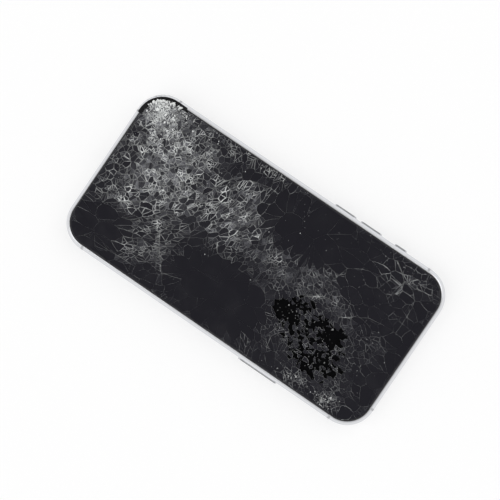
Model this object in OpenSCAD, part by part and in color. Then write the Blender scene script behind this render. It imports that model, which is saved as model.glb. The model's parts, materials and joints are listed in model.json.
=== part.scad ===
// Shattered smartphone: a metal framed phone whose cover glass broke outwards from one corner.
// +Y points to the top end, +X to the side with the wake button, +Z out of the screen.
// The origin is on the back glass, under the middle of the phone.

/* [Body] */
// Width across the metal sides
body_w = 70.9; // [59:0.1:86]
// Length from end to end
body_l = 143.6; // [119:0.1:173]
// Thickness over both glasses
body_t = 7.7; // [7.5:0.1:9.3]
// Corner radius of the outline
corner_r = 12; // [10:0.5:15]
// Thickness of the metal wall
wall = 2.6; // [2.2:0.1:3.2]
// Radius of the rounded metal edge
edge_r = 3.1; // [2.9:0.1:3.3]
// Height of the rounded edge's centre above the near face
shoulder_z = 3.3; // [3.2:0.05:3.5]
// How far each glass stands proud of the metal
proud = 0.6; // [0.3:0.05:0.7]
// Thickness of the mid plate
plate_t = 0.8; // [0.5:0.1:1.0]
// Width of a plastic antenna break
break_w = 1.0; // [0.6:0.1:1.6]

/* [Glass] */
// Distance from the outline to the seats of both glasses
seat_inset = 1.75; // [1.6:0.05:2]
// Thickness of the back glass
rear_t = 0.8; // [0.6:0.05:1]
// Thickness of the cover glass
cover_t = 0.8; // [0.6:0.05:1]
// Rounding of the back glass edge
rear_edge_r = 0.5; // [0.3:0.05:0.6]

/* [Damage] */
// Rings of fine cracks close to the struck corner
near_rings = 8; // [6:1:9]
// Rings of coarse cracks beyond them
far_rings = 10; // [8:1:14]
// Rays of cracks from the struck corner, which fork beyond the fine rings
crack_rays = 11; // [8:1:14]
// Radius of the innermost ring of cracks
first_ring = 4.2; // [3:0.1:6]
// How much larger each fine ring is than the one inside it
ring_growth = 1.32; // [1.25:0.01:1.4]
// Distance between the coarse rings
ring_step = 13; // [8:0.5:16]
// Half of a crack's width
half_crack = 0.03; // [0.02:0.01:0.06]
// How irregular the cracks are, as a share of their spacing
crack_wander = 0.3; // [0:0.05:0.4]
// Distance from the middle to the bare patch, across the phone
patch_x = 13; // [8:0.5:16]
// Distance from the top end to the middle of the bare patch
patch_from_top = 37.5; // [30:0.5:46]
// Width of the bare patch
patch_w = 19; // [12:0.5:24]
// Length of the bare patch
patch_l = 35; // [22:0.5:44]
// How far the sprung rim stands outside its seat
rim_out = 0.6; // [0.2:0.05:0.6]
// How far the sprung rim runs along the end, past the round corner
rim_run_end = 1.2; // [0:0.2:6]
// How far the sprung rim runs along the side, past the round corner
rim_run_side = 4.8; // [0:0.2:12]
// Width of the sprung rim
rim_w = 2.0; // [1.5:0.1:2.5]

/* [Display] */
// Thickness of the display panel
panel_t = 1.2; // [0.9:0.05:1.4]
// Thickness of the adhesive between panel and cover glass
adhesive_t = 0.15; // [0.1:0.01:0.25]
// Thickness of the steel sheet behind the panel
shield_t = 0.2; // [0.15:0.01:0.3]
// Width of the plastic bracket around the panel
bracket_w = 1.5; // [1.2:0.1:1.8]
// Thickness of the gasket around the cover glass
gasket_w = 0.24; // [0.15:0.01:0.3]

/* [Buttons] */
// How far each button stands out of the side
button_out = 0.5; // [0.3:0.05:0.8]
// Height of the buttons
button_h = 2.1; // [1.6:0.1:2.6]
// Travel of the buttons
button_travel = 0.25; // [0.15:0.01:0.35]
// Length of a volume button
volume_l = 9.8; // [7:0.1:12]
// Distance from the top end to the volume up button
volume_up_from_top = 40.5; // [36:0.5:45]
// Distance from the top end to the volume down button
volume_down_from_top = 52.6; // [48:0.5:57]
// Length of the side button
side_button_l = 18; // [12:0.5:22]
// Distance from the top end to the side button
side_button_from_top = 46.3; // [38:0.5:52]
// Length of the ring switch
switch_l = 5.5; // [4:0.1:6.6]
// Height of the ring switch
switch_h = 1.9; // [1.4:0.1:2.1]
// Travel of the ring switch
switch_travel = 0.9; // [0.6:0.1:1.1]
// Distance from the top end to the ring switch
switch_from_top = 26.7; // [22:0.5:30]

/* [Card tray] */
// Length of the card
card_l = 12.3; // [12.3:0.1:15]
// Width of the card
card_w = 8.8; // [8.8:0.1:12]
// Thickness of the card
card_t = 0.67; // [0.6:0.01:0.8]
// Width of the tray's rails and ends
tray_rail = 1.0; // [0.8:0.1:1.4]
// Height of the tray's end cap
cap_h = 1.9; // [1.6:0.1:2.2]
// Distance from the top end to the tray
tray_from_top = 74.8; // [66:0.5:80]

/* [Cameras] */
// Width of the camera window
window_w = 9.6; // [9:0.1:11]
// Length of the camera window
window_l = 19.6; // [18:0.1:20.5]
// Width of the metal ring around the camera window
ring_w = 0.8; // [0.5:0.1:1]
// Distance from the side to the cameras
camera_from_side = 13.45; // [13:0.05:14.5]
// Distance from the top end to the cameras
camera_from_top = 16.3; // [16:0.1:18]
// Radius of a lens barrel
lens_r = 3.4; // [2.8:0.1:3.6]
// Distance between the two lenses
lens_pitch = 9.8; // [9.2:0.1:11]
// Focus travel of the lens barrels
focus_travel = 0.2; // [0.1:0.01:0.25]

/* [Board and battery] */
// Width of the logic board
board_w = 18.8; // [17:0.1:20]
// Thickness of the logic board
board_t = 0.8; // [0.6:0.05:1]
// Height of the shield cans
can_h = 1.6; // [1.3:0.1:1.7]
// Depth of the zone that holds the cameras and the earpiece
top_zone = 28; // [27:0.5:32]
// Depth of the zone that holds the loudspeaker and the port
bottom_zone = 22.7; // [22:0.5:28]
// Radius of the charging coil
coil_r = 20.5; // [16:0.5:24]
// Radius of the coil's open middle
coil_hole_r = 10; // [6:0.5:13]

/* [Sound and port] */
// Radius of a sound hole
sound_r = 0.7; // [0.5:0.05:0.8]
// Distance between sound holes
sound_pitch = 2.4; // [2:0.1:2.6]
// Width of the charge port inside
port_w = 8.34; // [7:0.01:9]
// Height of the charge port inside
port_h = 2.56; // [2.2:0.01:2.8]
// Depth of the charge port
port_d = 7; // [6:0.1:8]
// Length of the vibrator
vibrator_l = 22; // [18:0.5:25]
// Width of the vibrator
vibrator_w = 11; // [8:0.5:12]
// Travel of the vibrator's mass to each side
vibrator_travel = 0.8; // [0.4:0.1:1.2]

/* [Clearances] */
// Gap around glass, buttons and tray
fit_gap = 0.05; // [0.03:0.01:0.08]
// Gap around a sliding barrel or shaft
running_gap = 0.05; // [0.02:0.01:0.08]
// Gap between inner components
part_gap = 1.0; // [0.6:0.1:1.5]

/* [Hidden] */
$fn = 64;

half_w = body_w / 2;
half_l = body_l / 2;
mid_z = body_t / 2;
lap = 0.5;                              // overlap that keeps cuts and unions clean

// Heights of the layers, from the back to the screen
plate_top = rear_t + plate_t;
cover_z = body_t - cover_t;
panel_z = cover_z - adhesive_t - panel_t;
shield_z = panel_z - shield_t;
ledge_z = panel_z + fit_gap;
bracket_top = cover_z - fit_gap;
metal_top = body_t - proud;
part_top = shield_z - 0.35;             // the tallest inner component

// Insets from the outline
glass_inset = seat_inset + fit_gap + gasket_w + fit_gap;
bracket_inset = seat_inset + fit_gap;
panel_inset = bracket_inset + bracket_w + 0.1;
shield_inset = panel_inset + 1.0;
cavity_x = half_w - wall;
cavity_y = half_l - wall;

// Buttons: the flange behind the wall, the tip on it and the dome switch it presses
flange_t = 0.2;
flange_lap = 0.8;
flange_gap = 0.15;                      // least distance from a flange to the bracket above it
flange_rise = min(0.5, ledge_z - flange_gap - mid_z - button_h / 2);
tip_l = 0.15;
tip_r = 0.8;
dome_t = 0.15;
dome_r = 1.5;
flex_t = 0.2;
key_plate_t = 0.3;
dome_inset = wall + fit_gap + flange_t + tip_l + button_travel + fit_gap;
flex_inset = dome_inset + dome_t;
key_plate_inset = flex_inset + flex_t;
key_plate_back = key_plate_inset + key_plate_t;
volume_up_y = half_l - volume_up_from_top;
volume_down_y = half_l - volume_down_from_top;
side_button_y = half_l - side_button_from_top;
switch_y = half_l - switch_from_top;
side_flex_y = [side_button_y - 9, side_button_y + 9];
volume_flex_y = [volume_down_y - 6.5, volume_up_y + 6.5];
switch_z = mid_z + switch_travel / 2;
switch_flange_lap = 0.4;
switch_flange_rise = 0.25;
switch_base_d = 1.9;
switch_base_l = switch_l + 2 * flange_lap;

// Card tray and the reader that it slides into
tray_t = card_t + 0.33;
tray_w = card_w + 2 * tray_rail + 2 * fit_gap;
tray_l = card_l + 2 * tray_rail + 2 * fit_gap;
tray_y = half_l - tray_from_top;
cap_t = 1.2;
cap_l = tray_w + 1.2;
reader_wall = 0.15;
reader_gap = 0.15;
reader_h = tray_t + 2 * reader_gap + 2 * reader_wall;
reader_w = tray_w + 2 * reader_gap + 2 * reader_wall;
reader_l = tray_l - 0.6;
tray_inner_x = half_w - cap_t - tray_l;

// Logic board
board_x1 = half_w - key_plate_back - 0.2;
board_x0 = board_x1 - board_w;
board_top = mid_z - reader_h / 2;
board_z = board_top - board_t;
board_y0 = -cavity_y + bottom_zone + 2.5;
board_y1 = cavity_y - top_zone + 1.3;
can_top = board_top + can_h;
can_margin = 1.5;
screw_r = 0.55;
screw_head_r = 1.1;
screw_head_h = 0.4;
boss_r = 1.5;
screw_margin = 2.2;
can_x0 = board_x0 + can_margin;
can_x1 = board_x1 - can_margin;
can_step = 2 * screw_margin;
can_ends = [
  [board_y0 + can_step, tray_y - reader_w / 2 - part_gap],
  [tray_y + reader_w / 2 + part_gap, board_y1 - can_step]
];

// Battery fills what the board leaves
battery_x0 = -half_w + key_plate_back + 0.5;
battery_x1 = board_x0 - part_gap;
battery_y0 = -cavity_y + bottom_zone;
battery_y1 = cavity_y - top_zone;
tape_t = 0.15;
tape_w = 12;

// Cameras
corner_shift = max(0, corner_r - 12) * (1 - sqrt(0.5));   // a rounder corner pushes the cameras in
camera_x = half_w - camera_from_side - corner_shift;
camera_y = half_l - camera_from_top - corner_shift;
window_t = rear_t - 0.1;
ring_outer_w = window_w + 2 * ring_w;
ring_outer_l = window_l + 2 * ring_w;
housing_w = ring_outer_w + 1.8;
housing_l = ring_outer_l + 1.4;
bracket_plate_t = 0.2;
flash_r = 1.2;
earpiece_w = 12;
earpiece_l = 8.2;
earpiece_y1 = cavity_y - 0.5;
front_camera_w = 5;
front_camera_l = 6;
front_camera_x1 = -earpiece_w / 2 - 1.5;
front_camera_y1 = cavity_y - 3.2;
front_lens_r = 1.6;
front_lens_h = 0.35;

// Bottom end
port_wall = 0.3;
port_outer_w = port_w + 2 * port_wall;
port_outer_h = port_h + 2 * port_wall;
port_step = 0.2;
port_y1 = -half_l + port_step + port_d;
tongue_w = 6.7;
tongue_t = 0.7;
end_screw_x = port_outer_w / 2 + 2.4;
speaker_holes = 6;
microphone_holes = 3;
end_head_r = 1.0;
end_head_t = 0.7;
end_screw_r = 0.6;
end_screw_l = 4.9;
end_screw_step = 0.1;
tab_w = 3;
tab_d = 1.5;
tab_neck = bracket_w - 1.0;
sound_x = end_screw_x + 3.9;
sound_margin = 0.6;
// A rounder corner leaves less of the straight end, and the holes close up
hole_pitch = min(sound_pitch, (half_w - corner_r - sound_margin - sound_x) / (speaker_holes - 1));
speaker_end_x = sound_x + (speaker_holes - 1) * hole_pitch;
microphone_end_x = sound_x + (microphone_holes - 1) * hole_pitch;
mesh_t = 0.15;
mesh_h = 1.7;
speaker_x0 = port_outer_w / 2 + 2.5;
speaker_x1 = cavity_x - 4.85;
speaker_y0 = -cavity_y + 3.2;
speaker_y1 = -cavity_y + bottom_zone - 2;
vibrator_x0 = -cavity_x + 3.85;
vibrator_y1 = speaker_y1 - part_gap;
vibrator_wall = 0.3;
shaft_r = 0.4;
shaft_y = vibrator_w / 2 - 2.5;
mass_end_gap = vibrator_travel + 1.4;
coil_t = 0.35;
ferrite_t = 0.3;

// Cracks: where they start, how far apart they are, and the corners between them.
// A corner is named by its ring and by its half ray; the fine rings use every other half ray.
strike = [-half_w + glass_inset + 1.5, -half_l + glass_inset + 1.5];
first_ray = -12;
last_ray = 102;
half_ray = (last_ray - first_ray) / crack_rays / 2;
crack_rings = near_rings + far_rings;
half_rays = 2 * crack_rays + 1;
wander = rands(-crack_wander, crack_wander, 2 * (crack_rings + 1) * half_rays, 11);

// The bare patch: a ragged oval
patch_y = half_l - patch_from_top;
patch_turn = -14;
patch_points = 26;
patch_wander = rands(-0.16, 0.16, patch_points, 5);

function ring_radius(k) =
  first_ring * pow(ring_growth, min(k, near_rings)) + ring_step * max(k - near_rings, 0);
function wander_at(k, h, which) = wander[2 * (k * half_rays + h) + which];
function crack_corner(k, h) =
  let (r = ring_radius(k + wander_at(k, h, 0)),
       a = first_ray + half_ray * (h + wander_at(k, h, 1) * (k < near_rings ? 2 : 1)))
  strike + r * [cos(a), sin(a)];
function mean(points) = [for (axis = [0, 1]) [for (p = points) p[axis]] * [for (p = points) 1]] / len(points);
function shrunk(points) =
  let (c = mean(points)) [for (p = points) p + (c - p) * half_crack / norm(c - p)];

// ---- shared shapes ----

// The outline of the phone, moved inwards
module outline(inset) {
  r = corner_r - inset;
  w = body_w - 2 * inset;
  l = body_l - 2 * inset;
  square([w - 2 * r, l], center = true);
  square([w, l - 2 * r], center = true);
  for (sx = [-1, 1], sy = [-1, 1])
    translate([sx * (w / 2 - r), sy * (l / 2 - r)]) circle(r);
}

// A plate with the phone's outline
module plate(inset, z0, z1) {
  translate([0, 0, z0]) linear_extrude(z1 - z0) outline(inset);
}

// A flat ring with the phone's outline
module loop(outer, inner, z0, z1) {
  difference() {
    plate(outer, z0, z1);
    plate(inner, z0 - lap, z1 + lap);
  }
}

// Carries a profile around the phone; the profile's x is measured from the corner's centre
module around() {
  cx = half_w - corner_r;
  cy = half_l - corner_r;
  for (q = [0:3])
    translate([(q == 0 || q == 3 ? cx : -cx), (q < 2 ? cy : -cy), 0])
      rotate(90 * q) rotate_extrude(angle = 90) children();
  for (m = [0, 1]) {
    mirror([m, 0, 0]) translate([cx, cy, 0]) rotate([90, 0, 0]) linear_extrude(2 * cy) children();
    mirror([0, m, 0]) translate([-cx, cy, 0]) rotate([90, 0, 90]) linear_extrude(2 * cx) children();
  }
}

// A box given by its two corners
module block(low, high) {
  translate(low) cube(high - low);
}

// A flat bar with round ends, long side along Y
module stadium(w, l) {
  square([w, l - w], center = true);
  for (s = [-1, 1]) translate([0, s * (l - w) / 2]) circle(w / 2);
}

// A bar with round ends whose length runs along X, pushed in from the bottom end along Y
module end_bar(w, h, y0, y1) {
  translate([0, y1, mid_z]) rotate([90, 0, 0]) linear_extrude(y1 - y0) rotate(90) stadium(h, w);
}

// A bar with round ends whose length runs along Y, from x0 to x1
module side_bar(l, h, x0, x1, y, z) {
  translate([x0, y, z]) rotate([0, 90, 0]) linear_extrude(x1 - x0) stadium(h, l);
}

// ---- frame ----

// The band's section before it is hollowed out
module band_blank() {
  translate([corner_r - edge_r, 0]) {
    translate([0, shoulder_z]) circle(edge_r);
    translate([0, body_t - shoulder_z]) circle(edge_r);
    translate([0, shoulder_z]) square([edge_r, body_t - 2 * shoulder_z]);
  }
}

module band_profile() {
  difference() {
    intersection() {
      band_blank();
      translate([corner_r - wall, proud]) square([wall, metal_top - proud]);
    }
    translate([0, ledge_z]) square([corner_r - seat_inset, body_t]);
    square([corner_r - seat_inset, rear_t]);
  }
}

// The boxes in which the metal band is interrupted
module break_boxes() {
  side_y = half_l - corner_r - 1;
  end_x = half_w - corner_r - 0.8;
  for (sx = [-1, 1], sy = [-1, 1])
    translate([sx * half_w, sy * side_y, mid_z]) cube([2 * wall, break_w, 2 * body_t], center = true);
  for (s = [-1, 1])
    translate([s * end_x, s * half_l, mid_z]) cube([break_w, 2 * wall, 2 * body_t], center = true);
}

// Places one child over each corner of the logic board
module at_board_corners() {
  for (x = [board_x0 + screw_margin, board_x1 - screw_margin])
    for (y = [board_y0 + screw_margin, board_y1 - screw_margin])
      translate([x, y, 0]) children();
}

// Holes for speaker and microphone, through the bottom wall
module sound_holes() {
  for (i = [0:speaker_holes - 1]) sound_hole(sound_x + i * hole_pitch);
  for (i = [0:microphone_holes - 1]) sound_hole(-sound_x - i * hole_pitch);
}

module sound_hole(x) {
  translate([x, -half_l - lap, mid_z]) rotate([-90, 0, 0]) cylinder(h = wall + 2 * lap, r = sound_r);
}

module frame() {
  color("silver") difference() {
    union() {
      difference() {
        around() band_profile();
        break_boxes();
      }
      plate(wall, rear_t, plate_top);
      at_board_corners() translate([0, 0, plate_top - 0.1])
        cylinder(h = board_z - plate_top + 0.1, r = boss_r);
    }
    at_board_corners() translate([0, 0, plate_top]) cylinder(h = body_t, r = screw_r + fit_gap);
    cylinder(h = body_t, r = coil_r + 1.5);
    translate([camera_x, camera_y, 0]) linear_extrude(body_t / 2)
      stadium(ring_outer_w + 2 * fit_gap, ring_outer_l + 2 * fit_gap);
    sound_holes();
    end_bar(port_outer_w + 2 * fit_gap, port_outer_h + 2 * fit_gap, -half_l - lap, -cavity_y + lap);
    for (s = [-1, 1]) translate([s * end_screw_x, -half_l - lap, mid_z]) rotate([-90, 0, 0]) {
      cylinder(h = lap + end_head_t + end_screw_step + fit_gap, r = end_head_r + fit_gap);
      cylinder(h = wall + 2 * lap, r = end_screw_r + fit_gap);
    }
    button_slot(-1, volume_l, volume_up_y);
    button_slot(-1, volume_l, volume_down_y);
    button_slot(1, side_button_l, side_button_y);
    switch_slot();
    side_slot(1, cap_l + 2 * fit_gap, cap_h + 2 * fit_gap, tray_y, mid_z);
  }
}

module side_slot(side, l, h, y, z) {
  x0 = cavity_x - lap;
  x1 = half_w + lap;
  side_bar(l, h, side > 0 ? x0 : -x1, side > 0 ? x1 : -x0, y, z);
}

module button_slot(side, l, y) {
  side_slot(side, l + 2 * fit_gap, button_h + 2 * fit_gap, y, mid_z);
}

// The ring switch's slot is its own outline swept over its travel
module switch_slot() {
  l = switch_l + 2 * fit_gap;
  h = switch_h + 2 * fit_gap;
  for (z = [switch_z, switch_z - switch_travel]) side_slot(-1, l, h, switch_y, z);
  block([-half_w - lap, switch_y - l / 2, switch_z - switch_travel],
        [-cavity_x + lap, switch_y + l / 2, switch_z]);
}

module antenna_breaks() {
  color("gainsboro") intersection() {
    around() band_profile();
    break_boxes();
  }
}

// ---- back ----

module rear_edge_profile() {
  r0 = corner_r - bracket_inset - rear_edge_r;
  translate([r0, rear_edge_r]) circle(rear_edge_r);
  translate([r0, rear_edge_r]) square([rear_edge_r, rear_t - rear_edge_r]);
  translate([r0 - lap, 0]) square([lap, rear_t]);
}

module camera_opening(w, l, h) {
  translate([camera_x, camera_y, 0]) linear_extrude(h) stadium(w, l);
}

module rear_glass() {
  color("#202024") difference() {
    union() {
      plate(bracket_inset + rear_edge_r, 0, rear_t);
      around() intersection() {
        rear_edge_profile();
        square([corner_r, rear_t]);
      }
    }
    translate([0, 0, -lap])
      camera_opening(ring_outer_w + 2 * fit_gap, ring_outer_l + 2 * fit_gap, rear_t + 2 * lap);
  }
}

module camera_ring() {
  color("silver") difference() {
    camera_opening(ring_outer_w, ring_outer_l, rear_t);
    translate([0, 0, -lap]) camera_opening(window_w, window_l, window_t + lap);
    camera_opening(window_w - 1, window_l - 1, rear_t + lap);
  }
}

module camera_window() {
  color("#101014") camera_opening(window_w - 2 * fit_gap, window_l - 2 * fit_gap, window_t);
}

// ---- display ----

// The box around the struck corner in which the rim has sprung out of its seat
module strike_corner() {
  block([-half_w - lap, -half_l - lap, 0],
        [-half_w + corner_r + rim_run_end, -half_l + corner_r + rim_run_side, 2 * body_t]);
}

module display_bracket() {
  rim_seat_inset = seat_inset - rim_out;
  tab_y = -cavity_y + 2 * fit_gap;
  color("#141416") difference() {
    union() {
      loop(bracket_inset, bracket_inset + bracket_w, ledge_z, bracket_top);
      intersection() {
        union() {
          loop(bracket_inset, rim_seat_inset + rim_w, bracket_top - 0.1, metal_top + fit_gap);
          loop(rim_seat_inset, rim_seat_inset + rim_w, metal_top + fit_gap, body_t - 0.1);
        }
        strike_corner();
      }
      for (s = [-1, 1]) {
        block([s * end_screw_x - tab_w / 2, tab_y, mid_z - 1.4],
              [s * end_screw_x + tab_w / 2, tab_y + tab_d, shield_z - fit_gap]);
        block([s * end_screw_x - tab_w / 2, tab_y, shield_z - 0.3],
              [s * end_screw_x + tab_w / 2, tab_y + tab_neck, ledge_z + 0.1]);
      }
    }
    for (s = [-1, 1]) translate([s * end_screw_x, tab_y - lap, mid_z]) rotate([-90, 0, 0])
      cylinder(h = tab_d + 2 * lap, r = end_screw_r + fit_gap);
  }
}

module gasket() {
  color("#0c0c0e") difference() {
    loop(bracket_inset, bracket_inset + gasket_w, bracket_top, metal_top);
    strike_corner();
  }
}

module display_panel() {
  color("#08080a") plate(panel_inset, panel_z, panel_z + panel_t);
}

module glass_adhesive() {
  color("#18181c") difference() {
    plate(panel_inset, panel_z + panel_t, cover_z);
    block([-half_w, -half_l, 0], [strike[0] + first_ring, strike[1] + first_ring, body_t]);
  }
}

// The sheet is notched around the charge port
module display_shield() {
  notch_w = port_outer_w + 2;
  color("gray") difference() {
    plate(shield_inset, shield_z, panel_z);
    block([-notch_w / 2, -half_l, 0], [notch_w / 2, port_y1 + 1, body_t]);
  }
}

module bare_patch() {
  translate([patch_x, patch_y]) rotate(patch_turn)
    polygon([for (i = [0:patch_points - 1])
      let (a = 360 * i / patch_points, r = 1 + patch_wander[i] * (i % 2 == 0 ? 1 : -1))
      [r * patch_w / 2 * cos(a), r * patch_l / 2 * sin(a)]]);
}

// What glass is left: the outline without the sprung rim's stretch and the bare patch
module cover_outline() {
  difference() {
    outline(glass_inset);
    bare_patch();
    difference() {
      translate([-half_w, -half_l])
        square([corner_r + rim_run_end + 2 * fit_gap, corner_r + rim_run_side + 2 * fit_gap]);
      outline(seat_inset - rim_out + rim_w + fit_gap);
    }
  }
}

module shard(points) {
  translate([0, 0, cover_z]) linear_extrude(cover_t) intersection() {
    polygon(shrunk(points));
    cover_outline();
  }
}

module cover_glass() {
  last = near_rings - 1;
  color("#1c1c20") {
    for (h = [0:2:2 * crack_rays - 2]) {
      for (k = [0:last - 1])
        shard([crack_corner(k, h), crack_corner(k + 1, h),
               crack_corner(k + 1, h + 2), crack_corner(k, h + 2)]);
      shard([crack_corner(last, h), crack_corner(last + 1, h), crack_corner(last + 1, h + 1),
             crack_corner(last + 1, h + 2), crack_corner(last, h + 2)]);
    }
    for (k = [near_rings:crack_rings - 1], h = [0:2 * crack_rays - 1])
      shard([crack_corner(k, h), crack_corner(k + 1, h), crack_corner(k + 1, h + 1), crack_corner(k, h + 1)]);
  }
}

// ---- power ----

module battery() {
  color("#2a2a2e") block([battery_x0, battery_y0, plate_top + tape_t],
                         [battery_x1, battery_y1, shield_z - 0.3]);
}

module battery_adhesive() {
  middle_x = (battery_x0 + battery_x1) / 2;
  half_tape = min((battery_x1 - battery_x0) / 2 - 3, 18);
  color("#101010") for (s = [-1, 1])
    let (y = s > 0 ? battery_y1 - tape_w - 2 : battery_y0 + 2)
    block([middle_x - half_tape, y, plate_top], [middle_x + half_tape, y + tape_w, plate_top + tape_t]);
}

module battery_cable() {
  color("#3a2a14") block([battery_x1, battery_y1 - 22, can_top],
                         [board_x0 + can_margin + 4, battery_y1 - 16, can_top + tape_t]);
}

module charging_coil() {
  color("#b87333") translate([0, 0, rear_t]) difference() {
    cylinder(h = coil_t, r = coil_r);
    translate([0, 0, -lap]) cylinder(h = coil_t + 2 * lap, r = coil_hole_r);
  }
}

module ferrite_sheet() {
  color("#3c3c40") translate([0, 0, rear_t + coil_t]) cylinder(h = ferrite_t, r = coil_r + 1);
}

// ---- logic board ----

module logic_board() {
  color("#16341f") difference() {
    block([board_x0, board_y0, board_z], [board_x1, board_y1, board_top]);
    at_board_corners() translate([0, 0, board_z - lap])
      cylinder(h = board_t + 2 * lap, r = screw_r + fit_gap);
  }
}

module board_screws() {
  color("#b8b8bc") at_board_corners() {
    translate([0, 0, plate_top]) cylinder(h = board_top - plate_top, r = screw_r);
    translate([0, 0, board_top]) cylinder(h = screw_head_h, r = screw_head_r);
  }
}

module board_shields() {
  color("#c4c4c8") for (ends = can_ends) difference() {
    block([can_x0, ends[0], board_top], [can_x1, ends[1], can_top]);
    block([can_x0 + shield_t, ends[0] + shield_t, board_top - lap],
          [can_x1 - shield_t, ends[1] - shield_t, can_top - shield_t]);
  }
}

// One large chip in the middle of each can
module board_chips() {
  chip_w = min(can_x1 - can_x0 - 3, 12);
  middle_x = (can_x0 + can_x1) / 2;
  color("#0a0a0c") for (ends = can_ends)
    let (l = min(ends[1] - ends[0] - 3, 13), y = (ends[0] + ends[1]) / 2)
    block([middle_x - chip_w / 2, y - l / 2, board_top], [middle_x + chip_w / 2, y + l / 2, board_top + 0.9]);
}

module display_cable() {
  x0 = can_x0 + 5;
  y0 = can_ends[1][0] + 3;
  color("#4a3218") {
    block([x0, y0, can_top], [x0 + 4, y0 + 8, can_top + tape_t]);
    block([x0, y0, can_top], [x0 + tape_t, y0 + 8, shield_z]);
    block([x0, y0, shield_z - tape_t], [x0 + 7, y0 + 8, shield_z]);
  }
}

// ---- card tray ----

// The cage on the board, open towards the slot
module sim_reader() {
  x0 = tray_inner_x - 0.4;
  color("#b0b0b4") difference() {
    block([x0 - reader_wall, tray_y - reader_w / 2, board_top],
          [x0 - reader_wall + reader_l, tray_y + reader_w / 2, board_top + reader_h]);
    block([x0, tray_y - reader_w / 2 + reader_wall, board_top + reader_wall],
          [half_w, tray_y + reader_w / 2 - reader_wall, board_top + reader_h - reader_wall]);
  }
}

module sim_tray() {
  x1 = half_w - cap_t;
  card_x = tray_inner_x + tray_rail;
  color("silver") difference() {
    union() {
      intersection() {
        side_bar(cap_l, cap_h, x1, half_w + lap, tray_y, mid_z);
        around() band_blank();
      }
      block([tray_inner_x, tray_y - tray_w / 2, mid_z - tray_t / 2],
            [x1, tray_y + tray_w / 2, mid_z + tray_t / 2]);
    }
    block([card_x, tray_y - card_w / 2 - fit_gap, mid_z + tray_t / 2 - card_t],
          [card_x + card_l + 2 * fit_gap, tray_y + card_w / 2 + fit_gap, mid_z + body_t]);
    block([card_x + 0.8, tray_y - card_w / 2 + 0.8, 0],
          [card_x + card_l - 0.8, tray_y + card_w / 2 - 0.8, body_t]);
    translate([x1 - lap, tray_y + cap_l / 2 - 1.3, mid_z]) rotate([0, 90, 0])
      cylinder(h = 2 * lap + cap_t, r = 0.45);
  }
}

module sim_card() {
  x0 = tray_inner_x + tray_rail + fit_gap;
  z1 = mid_z + tray_t / 2;
  corner_cut = 1.7;
  color("goldenrod") difference() {
    block([x0, tray_y - card_w / 2, z1 - card_t], [x0 + card_l, tray_y + card_w / 2, z1]);
    translate([x0, tray_y + card_w / 2, 0]) rotate(45)
      cube([2 * corner_cut, 2 * corner_cut, 3 * body_t], center = true);
  }
}

// ---- cameras and the top end ----

module at_lenses() {
  for (s = [-1, 1]) translate([camera_x, camera_y + s * lens_pitch / 2, 0]) children();
}

module rear_camera() {
  color("#1a1a1c") difference() {
    block([camera_x - housing_w / 2, camera_y - housing_l / 2, plate_top],
          [camera_x + housing_w / 2, camera_y + housing_l / 2, part_top]);
    at_lenses() cylinder(h = part_top - 0.7, r = lens_r + running_gap);
  }
}

// A barrel that focuses by sliding towards the window
module lens(side) {
  z0 = window_t + fit_gap + focus_travel;
  z1 = part_top - 1.0;
  color("#26262c") translate([camera_x, camera_y + side * lens_pitch / 2, 0]) difference() {
    translate([0, 0, z0]) cylinder(h = z1 - z0, r = lens_r);
    translate([0, 0, z0 - lap]) cylinder(h = 0.3 + lap, r = lens_r / 2);
  }
}

module wide_lens() {
  lens(1);
}

module tele_lens() {
  lens(-1);
}

module flash_lens() {
  color("#efe6c8") translate([camera_x, camera_y, window_t + fit_gap])
    cylinder(h = plate_top - window_t - fit_gap, r = flash_r);
}

module camera_bracket() {
  color("#9a9aa0") block([camera_x - housing_w / 2, camera_y - housing_l / 2, part_top],
                         [camera_x + housing_w / 2, camera_y + housing_l / 2, part_top + bracket_plate_t]);
}

module earpiece() {
  color("#202022") block([-earpiece_w / 2, earpiece_y1 - earpiece_l, plate_top],
                         [earpiece_w / 2, earpiece_y1, part_top]);
}

module earpiece_mesh() {
  color("#55555a") block([-earpiece_w / 2 + 1, earpiece_y1 - 3.7, part_top],
                         [earpiece_w / 2 - 1, earpiece_y1 - 0.2, part_top + mesh_t]);
}

module front_camera() {
  color("#121214") {
    block([front_camera_x1 - front_camera_w, front_camera_y1 - front_camera_l, plate_top],
          [front_camera_x1, front_camera_y1, part_top]);
    translate([front_camera_x1 - front_camera_w / 2, front_camera_y1 - front_camera_l / 2, part_top - lap])
      cylinder(h = front_lens_h - 0.1 + lap, r = front_lens_r);
  }
}

module sensor_flex() {
  y1 = front_camera_y1 - front_camera_l + 0.9;
  color("#4a3218") block([front_camera_x1 - front_camera_w, y1 - 2.2, part_top],
                         [earpiece_w / 2, y1, part_top + 0.1]);
}

module top_antenna() {
  color("#303034") block([-cavity_x + 3.35, cavity_y - 19.2, plate_top],
                         [front_camera_x1 - front_camera_w - 2.5, cavity_y - 5.2, plate_top + 1.8]);
}

// ---- bottom end ----

module loudspeaker() {
  snout_z0 = mid_z - mesh_h / 2 - 0.1;
  color("#1c1c1e") {
    block([speaker_x0, speaker_y0, plate_top], [speaker_x1, speaker_y1, part_top]);
    block([sound_x - sound_margin, -cavity_y + mesh_t + 0.1, snout_z0],
          [speaker_end_x + sound_margin, speaker_y0, snout_z0 + mesh_h + 0.2]);
  }
}

module speaker_mesh() {
  color("#3a3a3e") {
    sound_mesh(sound_x - sound_margin, speaker_end_x + sound_margin);
    sound_mesh(-microphone_end_x - sound_margin, -sound_x + sound_margin);
  }
}

module sound_mesh(x0, x1) {
  block([x0, -cavity_y, mid_z - mesh_h / 2], [x1, -cavity_y + mesh_t, mid_z + mesh_h / 2]);
}

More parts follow.
